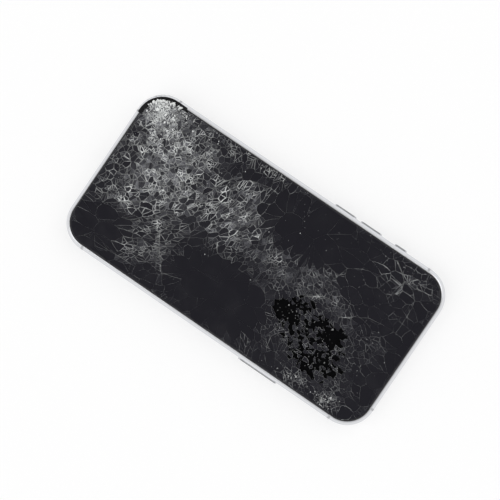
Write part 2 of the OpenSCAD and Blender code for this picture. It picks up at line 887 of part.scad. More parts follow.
module microphone() {
  middle_x = -(sound_x + microphone_end_x) / 2;
  color("#8c8c90") block([middle_x - 2, -cavity_y + mesh_t, plate_top],
                         [middle_x + 2, -cavity_y + mesh_t + 2.5, part_top - 0.3]);
}

module charge_port() {
  color("#a8a8ac") difference() {
    end_bar(port_outer_w, port_outer_h, -half_l + port_step, port_y1);
    end_bar(port_w, port_h, -half_l - lap, port_y1 - port_wall);
  }
}

module port_tongue() {
  color("#101012") block([-tongue_w / 2, -half_l + port_step + 1.2, mid_z - tongue_t / 2],
                         [tongue_w / 2, port_y1 - port_wall, mid_z + tongue_t / 2]);
}

module bottom_screws() {
  color("#c8c8cc") for (s = [-1, 1])
    translate([s * end_screw_x, -half_l + end_screw_step, mid_z]) rotate([-90, 0, 0]) difference() {
      union() {
        cylinder(h = end_head_t, r = end_head_r);
        cylinder(h = end_screw_l, r = end_screw_r);
      }
      translate([0, 0, -lap]) cylinder(h = lap + 0.3, r = 0.5, $fn = 5);
    }
}

module dock_flex() {
  color("#4a3218") {
    block([-5, port_y1 + 0.5, plate_top], [5, speaker_y1 + 0.3, plate_top + tape_t]);
    block([-5, speaker_y1 + 0.3, plate_top], [board_x0 + 7.5, battery_y0 - 0.2, plate_top + tape_t]);
  }
}

module vibrator_case() {
  y0 = vibrator_y1 - vibrator_w;
  color("#b4b4b8") difference() {
    block([vibrator_x0, y0, plate_top], [vibrator_x0 + vibrator_l, vibrator_y1, part_top]);
    block([vibrator_x0 + vibrator_wall, y0 + vibrator_wall, plate_top + vibrator_wall],
          [vibrator_x0 + vibrator_l - vibrator_wall, vibrator_y1 - vibrator_wall, part_top - vibrator_wall]);
  }
}

// Places one child at each guide shaft, along X
module at_shafts(x) {
  for (s = [-1, 1])
    translate([x, vibrator_y1 - vibrator_w / 2 + s * shaft_y, (plate_top + part_top) / 2])
      rotate([0, 90, 0]) children();
}

module vibrator_shafts() {
  color("#d8d8dc") at_shafts(vibrator_x0 + vibrator_wall)
    cylinder(h = vibrator_l - 2 * vibrator_wall, r = shaft_r);
}

module vibrator_mass() {
  side_gap = 0.3;
  x0 = vibrator_x0 + vibrator_wall + mass_end_gap;
  x1 = vibrator_x0 + vibrator_l - vibrator_wall - mass_end_gap;
  color("#6e6e74") difference() {
    block([x0, vibrator_y1 - vibrator_w + vibrator_wall + side_gap, plate_top + vibrator_wall + side_gap],
          [x1, vibrator_y1 - vibrator_wall - side_gap, part_top - vibrator_wall - side_gap]);
    at_shafts(x0 - lap) cylinder(h = x1 - x0 + 2 * lap, r = shaft_r + running_gap);
  }
}

// ---- buttons ----

// A button on the +X side: cap, flange behind the wall, and the tip that presses the dome
module button(l, y) {
  flange_x = cavity_x - fit_gap;
  color("silver") {
    side_bar(l, button_h, flange_x - flange_t, half_w + button_out, y, mid_z);
    side_bar(l + 2 * flange_lap, button_h + 2 * flange_rise, flange_x - flange_t, flange_x, y, mid_z);
    translate([flange_x - flange_t - tip_l, y, mid_z]) rotate([0, 90, 0])
      cylinder(h = tip_l + flange_t, r = tip_r);
  }
}

module side_button() {
  button(side_button_l, side_button_y);
}

module volume_up_button() {
  mirror([1, 0, 0]) button(volume_l, volume_up_y);
}

module volume_down_button() {
  mirror([1, 0, 0]) button(volume_l, volume_down_y);
}

// The flexible circuit with a dome switch behind each button
module key_flex(y0, y1, domes) {
  color("#5a3c1a") {
    block([half_w - key_plate_inset, y0, plate_top], [half_w - flex_inset, y1, part_top]);
    for (y = domes) translate([half_w - flex_inset, y, mid_z]) rotate([0, 90, 0])
      cylinder(h = dome_t, r = dome_r);
  }
}

module side_key_flex() {
  key_flex(side_flex_y[0], side_flex_y[1], [side_button_y]);
}

module volume_key_flex() {
  mirror([1, 0, 0]) key_flex(volume_flex_y[0], volume_flex_y[1], [volume_down_y, volume_up_y]);
}

// Steel strips that stand on the mid plate and back the flexible circuits
module key_brackets() {
  color("#a0a0a6") {
    key_strip(side_flex_y);
    mirror([1, 0, 0]) key_strip(volume_flex_y);
  }
}

module key_strip(y) {
  block([half_w - key_plate_back, y[0], plate_top], [half_w - key_plate_inset, y[1], part_top]);
}

module ring_switch() {
  x0 = -half_w - button_out;
  flange_x = -cavity_x + fit_gap;
  color("silver") {
    side_bar(switch_l, switch_h, x0, flange_x + flange_t, switch_y, switch_z);
    side_bar(switch_l + 2 * switch_flange_lap, switch_h + 2 * switch_flange_rise,
             flange_x, flange_x + flange_t, switch_y, switch_z);
  }
}

module ring_switch_base() {
  x0 = -cavity_x + 2 * fit_gap + flange_t;
  color("#2c2c30") block([x0, switch_y - switch_base_l / 2, plate_top],
                         [x0 + switch_base_d, switch_y + switch_base_l / 2, part_top]);
}

frame();
antenna_breaks();
rear_glass();
camera_ring();
camera_window();
flash_lens();
cover_glass();
glass_adhesive();
display_panel();
display_shield();
display_bracket();
gasket();
battery();
battery_adhesive();
battery_cable();
logic_board();
board_chips();
board_shields();
board_screws();
display_cable();
sim_reader();
sim_tray();
sim_card();
rear_camera();
wide_lens();
tele_lens();
camera_bracket();
front_camera();
earpiece();
earpiece_mesh();
sensor_flex();
top_antenna();
loudspeaker();
speaker_mesh();
vibrator_case();
vibrator_mass();
vibrator_shafts();
charge_port();
port_tongue();
dock_flex();
microphone();
side_button();
side_key_flex();
volume_up_button();
volume_down_button();
volume_key_flex();
key_brackets();
ring_switch();
ring_switch_base();
bottom_screws();
charging_coil();
ferrite_sheet();
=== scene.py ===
"""Looks of a shattered smartphone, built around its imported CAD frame.

The phone lies screen up on a white table. Its cover glass is rebuilt as a field of shards: a Voronoi
division whose cell size, crack width and whiteness follow a few named zones of damage. Lengths in the
classes are millimetres on the phone; meshes are written in metres.
"""

import json
import logging
import math
import random
from dataclasses import dataclass, field, replace
from enum import Enum

import bmesh
import bpy
import numpy as np
from mathutils import Matrix, Vector, noise
from mathutils.geometry import delaunay_2d_cdt
from mathutils.kdtree import KDTree


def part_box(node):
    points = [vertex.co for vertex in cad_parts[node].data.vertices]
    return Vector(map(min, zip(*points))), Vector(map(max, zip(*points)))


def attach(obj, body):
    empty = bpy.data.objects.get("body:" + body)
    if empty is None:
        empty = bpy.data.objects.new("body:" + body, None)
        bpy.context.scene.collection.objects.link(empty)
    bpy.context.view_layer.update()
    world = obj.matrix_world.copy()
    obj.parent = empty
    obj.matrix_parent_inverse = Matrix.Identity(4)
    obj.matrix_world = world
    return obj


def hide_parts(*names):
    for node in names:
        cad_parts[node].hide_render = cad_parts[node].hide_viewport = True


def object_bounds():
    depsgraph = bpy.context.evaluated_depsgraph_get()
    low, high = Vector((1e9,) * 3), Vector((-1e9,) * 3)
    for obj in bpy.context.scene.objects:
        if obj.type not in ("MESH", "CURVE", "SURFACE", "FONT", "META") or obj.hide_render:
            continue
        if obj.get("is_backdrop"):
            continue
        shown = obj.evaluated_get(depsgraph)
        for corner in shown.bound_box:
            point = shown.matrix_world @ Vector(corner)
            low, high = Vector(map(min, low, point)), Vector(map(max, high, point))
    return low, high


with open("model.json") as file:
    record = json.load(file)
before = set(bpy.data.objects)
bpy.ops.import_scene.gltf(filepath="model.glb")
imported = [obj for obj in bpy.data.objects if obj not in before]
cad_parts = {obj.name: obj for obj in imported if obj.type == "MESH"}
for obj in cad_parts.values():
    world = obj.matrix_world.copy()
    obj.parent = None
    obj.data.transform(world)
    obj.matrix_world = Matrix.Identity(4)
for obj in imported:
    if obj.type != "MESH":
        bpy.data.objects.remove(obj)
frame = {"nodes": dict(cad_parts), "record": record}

log = logging.getLogger("phone")
MM = 0.001
BODY = "phone"
GLASS_NODE = "cover_glass"
LENS_NODES = ("wide_lens", "tele_lens")
# A node's inputs: each one's name or number, and its value, its sRGB hex colour or the socket that feeds it.
Inputs = dict[str | int, object]
Triple = tuple[float, float, float]


# ---------------------------------------------------------------- colours and nodes


def srgb(code: str) -> tuple[float, float, float, float]:
    """Turn an sRGB hex colour into the linear colour that a shader takes.

    Args:
        code: six hexadecimal digits.

    Returns:
        Red, green, blue and alpha, linear.
    """
    values = [int(code[i:i + 2], 16) / 255 for i in (0, 2, 4)]
    return (*[v / 12.92 if v <= 0.04045 else ((v + 0.055) / 1.055) ** 2.4 for v in values], 1.0)


class Nodes:
    """The node tree of a material or the world.

    Attributes:
        tree: the tree.
        output: its output node.
        shader: the shader that it starts with, a principled one or a background.
    """

    def __init__(self, owner: bpy.types.Material | bpy.types.World) -> None:
        """Start the owner's tree.

        Args:
            owner: the material or the world.
        """
        owner.use_nodes = True
        self.tree = owner.node_tree
        self.output = next(node for node in self.tree.nodes if node.type.startswith("OUTPUT"))
        self.shader = self.output.inputs["Surface"].links[0].from_node

    def fill(self, node: bpy.types.Node, inputs: Inputs) -> None:
        """Set or link a node's inputs.

        Args:
            node: the node.
            inputs: what fills them.
        """
        for key, value in inputs.items():
            if isinstance(value, bpy.types.NodeSocket):
                self.tree.links.new(value, node.inputs[key])
            else:
                node.inputs[key].default_value = srgb(value) if isinstance(value, str) else value

    def add(self, kind: str, inputs: Inputs | None = None, output: str = "",
            **settings: object) -> bpy.types.NodeSocket:
        """Add a node with its settings and links.

        Args:
            kind: the node's type, without its ShaderNode prefix.
            inputs: what fills its inputs.
            output: the name of the output that is wanted, else the first that is in use.
            **settings: the node's own properties.

        Returns:
            The output socket.
        """
        node = self.tree.nodes.new("ShaderNode" + kind)
        for key, value in settings.items():
            setattr(node, key, value)
        self.fill(node, inputs or {})
        return node.outputs[output] if output else next(s for s in node.outputs if s.enabled)

    def grain(self, size_mm: float, detail: float, rough: float = 0.55, scale: Triple = (1, 1, 1),
              turn: Triple = (0, 0, 0)) -> bpy.types.NodeSocket:
        """A random grain on the piece's own coordinates.

        Args:
            size_mm: about how wide a grain is.
            detail: how many finer grains lie on it.
            rough: how strong they are.
            scale: less than 1 draws the grain out along that axis.
            turn: radians about each axis.

        Returns:
            A height from 0 to 1.
        """
        own = self.add("TexCoord", output="Object")
        place = self.add("Mapping", {"Vector": own, "Scale": scale, "Rotation": turn})
        return self.add("TexNoise", {"Vector": place, "Scale": 1 / (size_mm * MM), "Detail": detail,
                                     "Roughness": rough})

    def patches(self, size_mm: float, detail: float, span: tuple[float, float],
                low: float = 0.0, high: float = 1.0, rough: float = 0.55) -> bpy.types.NodeSocket:
        """Soft-edged patches between two levels.

        Args:
            size_mm: about how wide a patch is.
            detail: how ragged its edge is.
            span: the heights of the grain that it fades over.
            low, high: the two levels.
            rough: how strong the raggedness is.

        Returns:
            The level.
        """
        return self.add("MapRange", {0: self.grain(size_mm, detail, rough), 1: span[0], 2: span[1],
                                     3: low, 4: high})


# ---------------------------------------------------------------- zones of damage


@dataclass(frozen=True)
class Oval:
    """An oval on the screen, in millimetres from the phone's middle.

    Attributes:
        x, y: its centre.
        half_x, half_y: its half sizes before it is turned.
        turn: degrees, counter-clockwise.
        soft: width of its blurred border, as a share of its radius.
    """

    x: float
    y: float
    half_x: float
    half_y: float
    turn: float = 0.0
    soft: float = 0.6

    def weight(self, points: np.ndarray) -> np.ndarray:
        """How much each point lies in the oval.

        Args:
            points: points on the screen.

        Returns:
            From 0 outside to 1 inside, for each point.
        """
        c, s = math.cos(math.radians(self.turn)), math.sin(math.radians(self.turn))
        dx, dy = points[:, 0] - self.x, points[:, 1] - self.y
        distance = np.hypot((dx * c + dy * s) / self.half_x, (dy * c - dx * s) / self.half_y)
        t = np.clip((1 + self.soft / 2 - distance) / self.soft, 0, 1)
        return t * t * (3 - 2 * t)


@dataclass(frozen=True)
class Field:
    """A value over the screen: a base, then ovals that pull it to values of their own.

    Attributes:
        base: the value outside all ovals.
        layers: each oval and its value, the later ones on top.
    """

    base: float
    layers: tuple[tuple[Oval, float], ...]

    def at(self, points: np.ndarray) -> np.ndarray:
        """The field's value, blended by ratio so that it stays positive.

        Args:
            points: points on the screen.

        Returns:
            A value for each point.
        """
        value = np.full(len(points), math.log(self.base))
        for oval, level in self.layers:
            w = oval.weight(points)
            value = value * (1 - w) + math.log(level) * w
        return np.exp(value)


# Where the phone was struck; the cracks fan out from here.
STRIKE = (-31.5, -66.5)
# A corner of a shard this near to the plate's edge lies on it. A length below TINY counts as none, and
# points nearer than SAME_POINT are one.
RIM_SLACK = 0.05
TINY = 1e-9
SAME_POINT = 1e-6

# The struck corner and the crushed glass that spreads from it.
CORNER = Oval(-27, -62, 8, 9, 0, 0.8)
CORNER_RIM = Oval(-29, -65, 6, 6, 0, 0.6)
DENSE = Oval(-6, -49, 31, 22, 0, 0.5)
DENSE_LOW = Oval(15, -40, 13, 12, 20, 0.6)
RIDGE = Oval(-13, -51, 20, 13, 34, 1.0)
DENSE_END = Oval(-3, -67, 17, 7, 0, 0.9)
SIDE_STRIP = Oval(-32, -35, 3.5, 34, 0, 0.8)
FAN = Oval(-11, -15, 14, 16, 20, 0.6)
BAND = Oval(-5, 20, 9, 24, 8, 0.7)
BAND_TAIL = Oval(4, -4, 6, 6, 0, 0.6)
# Where the glass held in large shards.
CALM_LEFT = Oval(-21, 13, 10, 19, 0, 0.5)
CALM_MIDDLE = Oval(19, -5, 12, 19, 0, 0.4)
CALM_CORNER = Oval(22, -58, 9, 10, 30, 0.4)
CALM_TAIL = Oval(5, -50, 3, 4, -40, 0.4)
CALM_END = Oval(8, 66, 25, 4, 0, 0.6)
CALM_WEB = Oval(-14, 44, 9, 10, 0, 0.6)
# The bare patch with its two holes, and the glass about it.
SHARD_EDGE = Oval(25, 27, 3.5, 5, 0, 0.3)
PATCH = Oval(13.5, 35, 10.5, 18, -24, 0.3)
PATCH_NEAR = Oval(9.5, 21.0, 3.8, 5.0, -20, 0.3)
PATCH_FAR = Oval(8, 42.5, 4.2, 4.6, 0, 0.3)
PATCH_RIM = Oval(15, 44, 17, 24, 0, 0.6)
# Lesser strikes: a web at the far end, and two crushed spots on the other side.
SECOND = Oval(-27, 51, 7, 10, 0, 0.9)
SPOT_LOW = Oval(30, 38, 3.5, 5, 0, 0.7)
SPOT_HIGH = Oval(30, 55, 3.2, 5, 0, 0.9)

# A shard's usual width, mm.
CELL_SIZE = Field(3.2, (
    (PATCH_RIM, 1.75), (DENSE, 1.95), (DENSE_LOW, 1.9), (FAN, 1.95), (BAND, 1.6), (BAND_TAIL, 1.8),
    (CALM_LEFT, 9.0), (CALM_MIDDLE, 13.0), (SIDE_STRIP, 2.1), (CALM_CORNER, 9.0), (CALM_TAIL, 6.0),
    (CALM_END, 6.0), (CALM_WEB, 5.0), (RIDGE, 1.55), (CORNER, 1.45), (CORNER_RIM, 1.2), (PATCH, 1.3),
    (SECOND, 3.0), (SPOT_LOW, 1.5), (SPOT_HIGH, 1.5), (SHARD_EDGE, 9.0),
))
# How wide a crack opens at the surface, mm.
CRACK_WIDTH = Field(0.06, (
    (PATCH_RIM, 0.08), (DENSE, 0.32), (DENSE_LOW, 0.24), (FAN, 0.28), (BAND, 0.13), (BAND_TAIL, 0.13),
    (CALM_LEFT, 0.03), (CALM_MIDDLE, 0.02), (SIDE_STRIP, 0.24), (CALM_CORNER, 0.035), (CALM_END, 0.04),
    (CALM_WEB, 0.05), (RIDGE, 0.37), (CORNER, 0.42), (CORNER_RIM, 0.5), (PATCH, 0.09), (SECOND, 0.13),
    (SPOT_LOW, 0.16), (SPOT_HIGH, 0.2),
))
# How white the broken sides look, 1 for powdered glass.
WHITENESS = Field(0.3, (
    (PATCH_RIM, 0.3), (DENSE, 0.44), (DENSE_LOW, 0.36), (FAN, 0.5), (BAND, 0.4), (CALM_LEFT, 0.16),
    (CALM_MIDDLE, 0.1), (SIDE_STRIP, 0.44), (CALM_CORNER, 0.25), (RIDGE, 0.59), (DENSE_END, 0.3),
    (CORNER, 0.78), (CORNER_RIM, 1.1), (PATCH, 0.34), (SECOND, 0.42), (SPOT_LOW, 0.5), (SPOT_HIGH, 0.7),
))
# How much a small shard's face is clouded by fine cracks under it.
HAZE = Field(0.1, (
    (DENSE, 0.5), (DENSE_LOW, 0.25), (FAN, 0.45), (BAND, 0.25), (CALM_LEFT, 0.06), (CALM_MIDDLE, 0.02),
    (CALM_CORNER, 0.02), (RIDGE, 0.9), (DENSE_END, 0.3), (CORNER, 1.3), (PATCH_RIM, 0.12), (SECOND, 0.15),
))
# How far shards lean, degrees.
TILT = Field(0.12, ((DENSE, 1.1), (FAN, 0.9), (BAND, 0.7), (CORNER, 2.5), (PATCH_RIM, 0.5), (SECOND, 0.9)))

# The longest cracks: points on the screen, in millimetres. Those about the second strike end the list.
LONG_CRACKS = (
    ((19, -69), (14, -60), (11, -56), (5, -48)),
    ((26, -61), (22, -60), (19, -56), (17, -50)),
    ((25, -61), (27, -55), (25, -48)),
    ((30, -66), (29.5, -50), (29, -35)),
    ((-11, -30), (-18, -27), (-26, -20)),
    ((-24, -20), (-26.5, -11), (-25, -3)),
    ((-28, 3), (-27, 10), (-24, 15)),
    ((2, -16), (7, -12), (5, -6)),
    ((7, -12), (11, -11), (16, -12)),
    ((15, -25), (16, -16), (15.5, -8), (16, 4)),
    ((12, -37), (18, -33), (25, -27), (29, -24)),
    ((25, -28), (23, -20), (18, -16)),
    ((21, -12), (26, -9), (32, -6)),
    ((7, -5), (7, 6), (10, 13)),
    ((16, 4), (20, 6), (21, 11)),
    ((24, 14), (30, 17)),
    ((16, 28), (18.5, 24), (22, 22.5), (28, 25), (30, 30)),
    ((-14, 22), (-13.5, 28), (-12, 31)),
    ((2, 23), (-3, 31), (-4, 36)),
    ((0, 37), (-1, 42), (-6, 50), (-7, 55)),
    ((-13, 31), (-17, 32), (-20, 36), (-22, 42), (-22.5, 47)),
    ((-14, 50), (-18, 52), (-22, 54), (-26, 53)),
    ((-20, 56), (-23.5, 60), (-19, 61.5), (-13, 62), (-4, 62)),
    ((-32, 45), (-29, 49), (-25.5, 57), (-26.5, 63), (-24, 68)),
    ((-30, 58), (-24, 53), (-15, 52)),
)


@dataclass(frozen=True)
class Screen:
    """The cover glass's place, in millimetres.

    Attributes:
        half_x, half_y: half its width and length.
        top, bottom: the heights of its faces.
        radius: its corners' radius.
        least_radius: the least that an outline moved inwards keeps of it.
    """

    half_x: float
    half_y: float
    top: float
    bottom: float
    radius: float = 9.91
    least_radius: float = 0.5

    @classmethod
    def from_frame(cls) -> "Screen":
        """Read the place from the CAD node."""
        low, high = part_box(GLASS_NODE)
        return cls(high[0] / MM, high[1] / MM, high[2] / MM, low[2] / MM)

    def outline(self, inset: float, steps: int = 9) -> np.ndarray:
        """The plate's outline, moved inwards.

        Args:
            inset: how far inwards.
            steps: how many straight sides each corner gets.

        Returns:
            Its points, counter-clockwise.
        """
        r = max(self.radius - inset, self.least_radius)
        points = []
        for quarter, (sx, sy) in enumerate(((1, 1), (-1, 1), (-1, -1), (1, -1))):
            cx, cy = sx * (self.half_x - inset - r), sy * (self.half_y - inset - r)
            for i in range(steps + 1):
                a = math.radians(90 * (quarter + i / steps))
                points.append((cx + r * math.cos(a), cy + r * math.sin(a)))
        return np.array(points)

    def depth(self, x: float, y: float) -> float:
        """How far a point lies inside the outline.

        Args:
            x, y: the point.

        Returns:
            Its depth, negative outside.
        """
        qx, qy = abs(x) - (self.half_x - self.radius), abs(y) - (self.half_y - self.radius)
        return self.radius - math.hypot(max(qx, 0), max(qy, 0)) - min(max(qx, qy), 0)


# ---------------------------------------------------------------- the shatter, in the plane


def spin(points: np.ndarray) -> np.ndarray:
    """A repeatable random value for each point, the same wherever that point is met again.

    Args:
        points: the points.

    Returns:
        A value from 0 to 1 for each.
    """
    mixed = np.sin(np.round(points[:, 0], 3) * 127.1 + np.round(points[:, 1], 3) * 311.7) * 43758.5453
    return mixed - np.floor(mixed)


@dataclass(frozen=True)
class Drift:
    """A smooth random factor over the screen.

    Attributes:
        amount: how far it strays from 1, as a logarithm.
        size: over how many millimetres it changes.
        salt: picks one of many such factors.
        gain: what the noise is multiplied by, to reach about -1 and 1.
    """

    amount: float
    size: float
    salt: float
    gain: float = 1.6

    def at(self, points: np.ndarray) -> np.ndarray:
        """The factor at each point.

        Args:
            points: points on the screen.

        Returns:
            A value about 1 for each.
        """
        heights = [noise.noise(Vector((x / self.size, y / self.size, self.salt))) for x, y in points]
        return np.exp(self.amount * (np.array(heights) * self.gain))


SIZE_DRIFT = Drift(0.3, 5.0, 3.7)
WIDTH_DRIFT = Drift(0.75, 3.2, 9.1)
WHITE_DRIFT = Drift(1.0, 3.2, 1.3)
HAZE_DRIFT = Drift(0.6, 3.0, 5.5)


def area(polygon: np.ndarray) -> float:
    """A polygon's area, positive when it runs counter-clockwise."""
    nxt = np.roll(polygon, -1, axis=0)
    return float(np.sum(polygon[:, 0] * nxt[:, 1] - nxt[:, 0] * polygon[:, 1]) / 2)


def clip(polygon: np.ndarray, border: np.ndarray) -> np.ndarray:
    """Keep the part of a polygon that lies in a convex border.

    Args:
        polygon: its points in order.
        border: the border's points, counter-clockwise.

    Returns:
        The points that are left, none if nothing is.
    """
    points = [tuple(p) for p in polygon]
    for (ax, ay), (bx, by) in zip(border, np.roll(border, -1, axis=0)):
        ex, ey = bx - ax, by - ay
        kept = []
        sides = [ex * (y - ay) - ey * (x - ax) for x, y in points]
        for i, (p, side) in enumerate(zip(points, sides)):
            q, other = points[i - 1], sides[i - 1]
            if (side >= 0) != (other >= 0):
                t = other / (other - side)
                kept.append((q[0] + (p[0] - q[0]) * t, q[1] + (p[1] - q[1]) * t))
            if side >= 0:
                kept.append(p)
        points = kept
        if not points:
            break
    return np.array(points).reshape(-1, 2)


def split(polygon: np.ndarray, path: np.ndarray) -> list[np.ndarray]:
    """Split a polygon along the chord between the two places where a path crosses it.

    Args:
        polygon: its points in order.
        path: the path's points in order.

    Returns:
        Two polygons, or the same one if the path doesn't cross it from side to side.
    """
    low, high = polygon.min(0), polygon.max(0)
    first, last = path[:-1], path[1:]
    near = np.all((np.maximum(first, last) >= low) & (np.minimum(first, last) <= high), axis=1)
    if not near.any():
        return [polygon]
    p, e = first[near][:, None], (last - first)[near][:, None]
    a, d = polygon[None], (np.roll(polygon, -1, axis=0) - polygon)[None]
    cross = d[..., 0] * e[..., 1] - d[..., 1] * e[..., 0]
    cross = np.where(np.abs(cross) < TINY, TINY, cross)
    t = ((p - a)[..., 0] * e[..., 1] - (p - a)[..., 1] * e[..., 0]) / cross
    u = ((p - a)[..., 0] * d[..., 1] - (p - a)[..., 1] * d[..., 0]) / cross
    hits = sorted((int(i), float(t[k, i])) for k, i in np.argwhere((t > 0) & (t < 1) & (u >= 0) & (u < 1)))
    if len(hits) != 2 or hits[0][0] == hits[1][0]:
        return [polygon]
    (i, at_i), (j, at_j) = hits
    one_end = polygon[i] + d[0, i] * at_i
    other_end = polygon[j] + d[0, j] * at_j
    return [np.vstack([[one_end], polygon[i + 1:j + 1], [other_end]]),
            np.vstack([[other_end], polygon[j + 1:], polygon[:i + 1], [one_end]])]


def circle_centres(triangles: np.ndarray) -> np.ndarray:
    """The centre of the circle through each triangle's corners.

    Args:
        triangles: three points for each.

    Returns:
        A point for each.
    """
    a, b, c = triangles[:, 0], triangles[:, 1], triangles[:, 2]
    d = 2 * (a[:, 0] * (b - c)[:, 1] + b[:, 0] * (c - a)[:, 1] + c[:, 0] * (a - b)[:, 1])
    d = np.where(np.abs(d) < TINY, TINY, d)
    square = [np.sum(p * p, axis=1) for p in (a, b, c)]
    x = (square[0] * (b - c)[:, 1] + square[1] * (c - a)[:, 1] + square[2] * (a - b)[:, 1]) / d
    y = -(square[0] * (b - c)[:, 0] + square[1] * (c - a)[:, 0] + square[2] * (a - b)[:, 0]) / d
    return np.stack([x, y], axis=1)


def smooth_path(corners: tuple[tuple[float, float], ...], wander: float, rng: random.Random) -> np.ndarray:
    """A crack's path: a spline through its corners that wanders a little to each side.

    Args:
        corners: the points it passes.
        wander: how far it may stray.
        rng: the random numbers.

    Returns:
        Its points.
    """
    p = np.array([corners[0], *corners, corners[-1]], float)
    points = []
    for i in range(1, len(p) - 2):
        for t in np.linspace(0, 1, 5, endpoint=False):
            a, b, c, d = p[i - 1:i + 3]
            points.append(0.5 * (2 * b + (c - a) * t + (2 * a - 5 * b + 4 * c - d) * t * t
                                 + (3 * b - a - 3 * c + d) * t ** 3))
    points.append(p[-1])
    return np.array([q + (rng.uniform(-wander, wander), rng.uniform(-wander, wander)) for q in points])


@dataclass
class Shatter:
    """The cover glass's cracks in the plane: a Voronoi division around the struck corner.

    Attributes:
        screen: the plate's place.
        seed: the random seed.
        tries: how many seed points are tried.
        overhang: how far beyond the plate seeds are tried.
        least_gap: the least distance between two seeds, as a share of the cell size.
        guard_gap, guard_count: how far outside all seeds the guard points stand, and how many on a side.
        ring: the distances from the strike between which shards grow wider than deep.
        ring_soft: half the width over which that sets in.
        stretch: how much wider.
        warp_reach, warp_steps: how far the stretch is worked out, and in how many steps.
        lip: how far the rim is chipped back at the struck corner.
        lip_corner: the corner's inner point, beyond which the rim is whole.
        bend_from: the shortest side that bends.
        bend: how far a side may bend, as a share of its length.
        snap_area: the smallest and largest shards that snap in two.
        snap_chance: the chance that one does in whole glass, and how much more in powdered glass.
        snap_reach: half the length of the line it snaps along.
        off_centre: how far from the middle that line runs, as a share of the shard's width.
        wander: how far a long crack strays from its path.
        finest: the shortest side of a shard.
        least_area: the smallest shard.
        cells, paths: the shards' outlines and the long cracks' paths, filled in when it is made.
    """

    screen: Screen
    seed: int = 41
    tries: int = 17000
    overhang: float = 4.0
    least_gap: float = 0.42
    guard_gap: float = 60.0
    guard_count: int = 9
    ring: tuple[float, float] = (44.0, 88.0)
    ring_soft: float = 6.0
    stretch: float = 2.1
    warp_reach: float = 200.0
    warp_steps: int = 401
    lip: float = 0.85
    lip_corner: tuple[float, float] = (-22.0, -54.5)
    bend_from: float = 1.8
    bend: float = 0.14
    snap_area: tuple[float, float] = (0.5, 12.0)
    snap_chance: tuple[float, float] = (0.25, 0.55)
    snap_reach: float = 20.0
    off_centre: float = 0.12
    wander: float = 0.3
    finest: float = 0.06
    least_area: float = 0.03
    cells: list[np.ndarray] = field(default_factory=list)
    paths: list[np.ndarray] = field(default_factory=list)

    def build(self) -> None:
        """Make the cells: the Voronoi division of the seeds, cut to the plate and by the long cracks."""
        seeds = self.scatter(np.random.default_rng(self.seed))
        low, high = seeds.min(0) - self.guard_gap, seeds.max(0) + self.guard_gap
        guard = [(x, y) for x in np.linspace(low[0], high[0], self.guard_count) for y in (low[1], high[1])]
        guard += [(x, y) for y in np.linspace(low[1], high[1], self.guard_count)[1:-1]
                  for x in (low[0], high[0])]
        points = [Vector(p) for p in seeds] + [Vector(p) for p in guard]
        corners, _, faces, origins, _, _ = delaunay_2d_cdt(points, [], [], 0, SAME_POINT)
        at = np.array([v[:] for v in corners])
        triangles = np.array([list(f) for f in faces])
        centres = self.warp(circle_centres(at[triangles]), back=True)
        around: dict[int, list[int]] = {}
        for index, triangle in enumerate(triangles):
            for corner in triangle:
                around.setdefault(int(corner), []).append(index)
        chance = random.Random(self.seed)
        walk = random.Random(self.seed)
        self.paths = [smooth_path(corners, self.wander, walk) for corners in LONG_CRACKS]
        for index in range(len(at)):
            if min(origins[index] or [len(points)]) < len(seeds):
                middle = self.warp(at[index:index + 1], back=True)[0]
                self.cells += self.shards(centres[around[index]], middle, chance)

    def scatter(self, rng: np.random.Generator) -> np.ndarray:
        """Scatter the shards' middles at random, as densely as the cell size asks.

        Args:
            rng: the random numbers.

        Returns:
            The middles, warped.
        """
        reach = np.array((self.screen.half_x, self.screen.half_y)) + self.overhang
        tries = rng.uniform(-1, 1, (self.tries, 2)) * reach
        sizes = CELL_SIZE.at(tries) * SIZE_DRIFT.at(tries)
        finest = math.sqrt(4 * reach[0] * reach[1] / self.tries)
        chosen = rng.random(self.tries) < (finest / sizes) ** 2
        warped = self.warp(tries)
        grow = np.hypot(*(warped - STRIKE).T) / np.maximum(np.hypot(*(tries - STRIKE).T), TINY)
        gaps = sizes * grow * self.least_gap
        kept = np.empty((self.tries, 2))
        count = 0
        for p, gap in zip(warped[chosen], gaps[chosen]):
            if not count or np.min(np.sum((kept[:count] - p) ** 2, axis=1)) > gap * gap:
                kept[count] = p
                count += 1
        return kept[:count]

    def warp(self, points: np.ndarray, back: bool = False) -> np.ndarray:
        """Stretch the plane outwards from the strike, so that shards lie in rings round it.

        Args:
            points: the points.
            back: undo the stretch instead.

        Returns:
            The moved points.
        """
        r = np.linspace(0, self.warp_reach, self.warp_steps)
        soft = self.ring_soft
        bends = [end + side for end in self.ring for side in (-soft, soft)]
        rate = np.interp(r, bends, (1, self.stretch, self.stretch, 1))
        h = np.concatenate([[0], np.cumsum((rate[1:] + rate[:-1]) / 2 * np.diff(r))])
        offset = points - STRIKE
        distance = np.maximum(np.hypot(offset[:, 0], offset[:, 1]), TINY)
        moved = np.interp(distance, h, r) if back else np.interp(distance, r, h)
        return np.array(STRIKE) + offset * (moved / distance)[:, None]

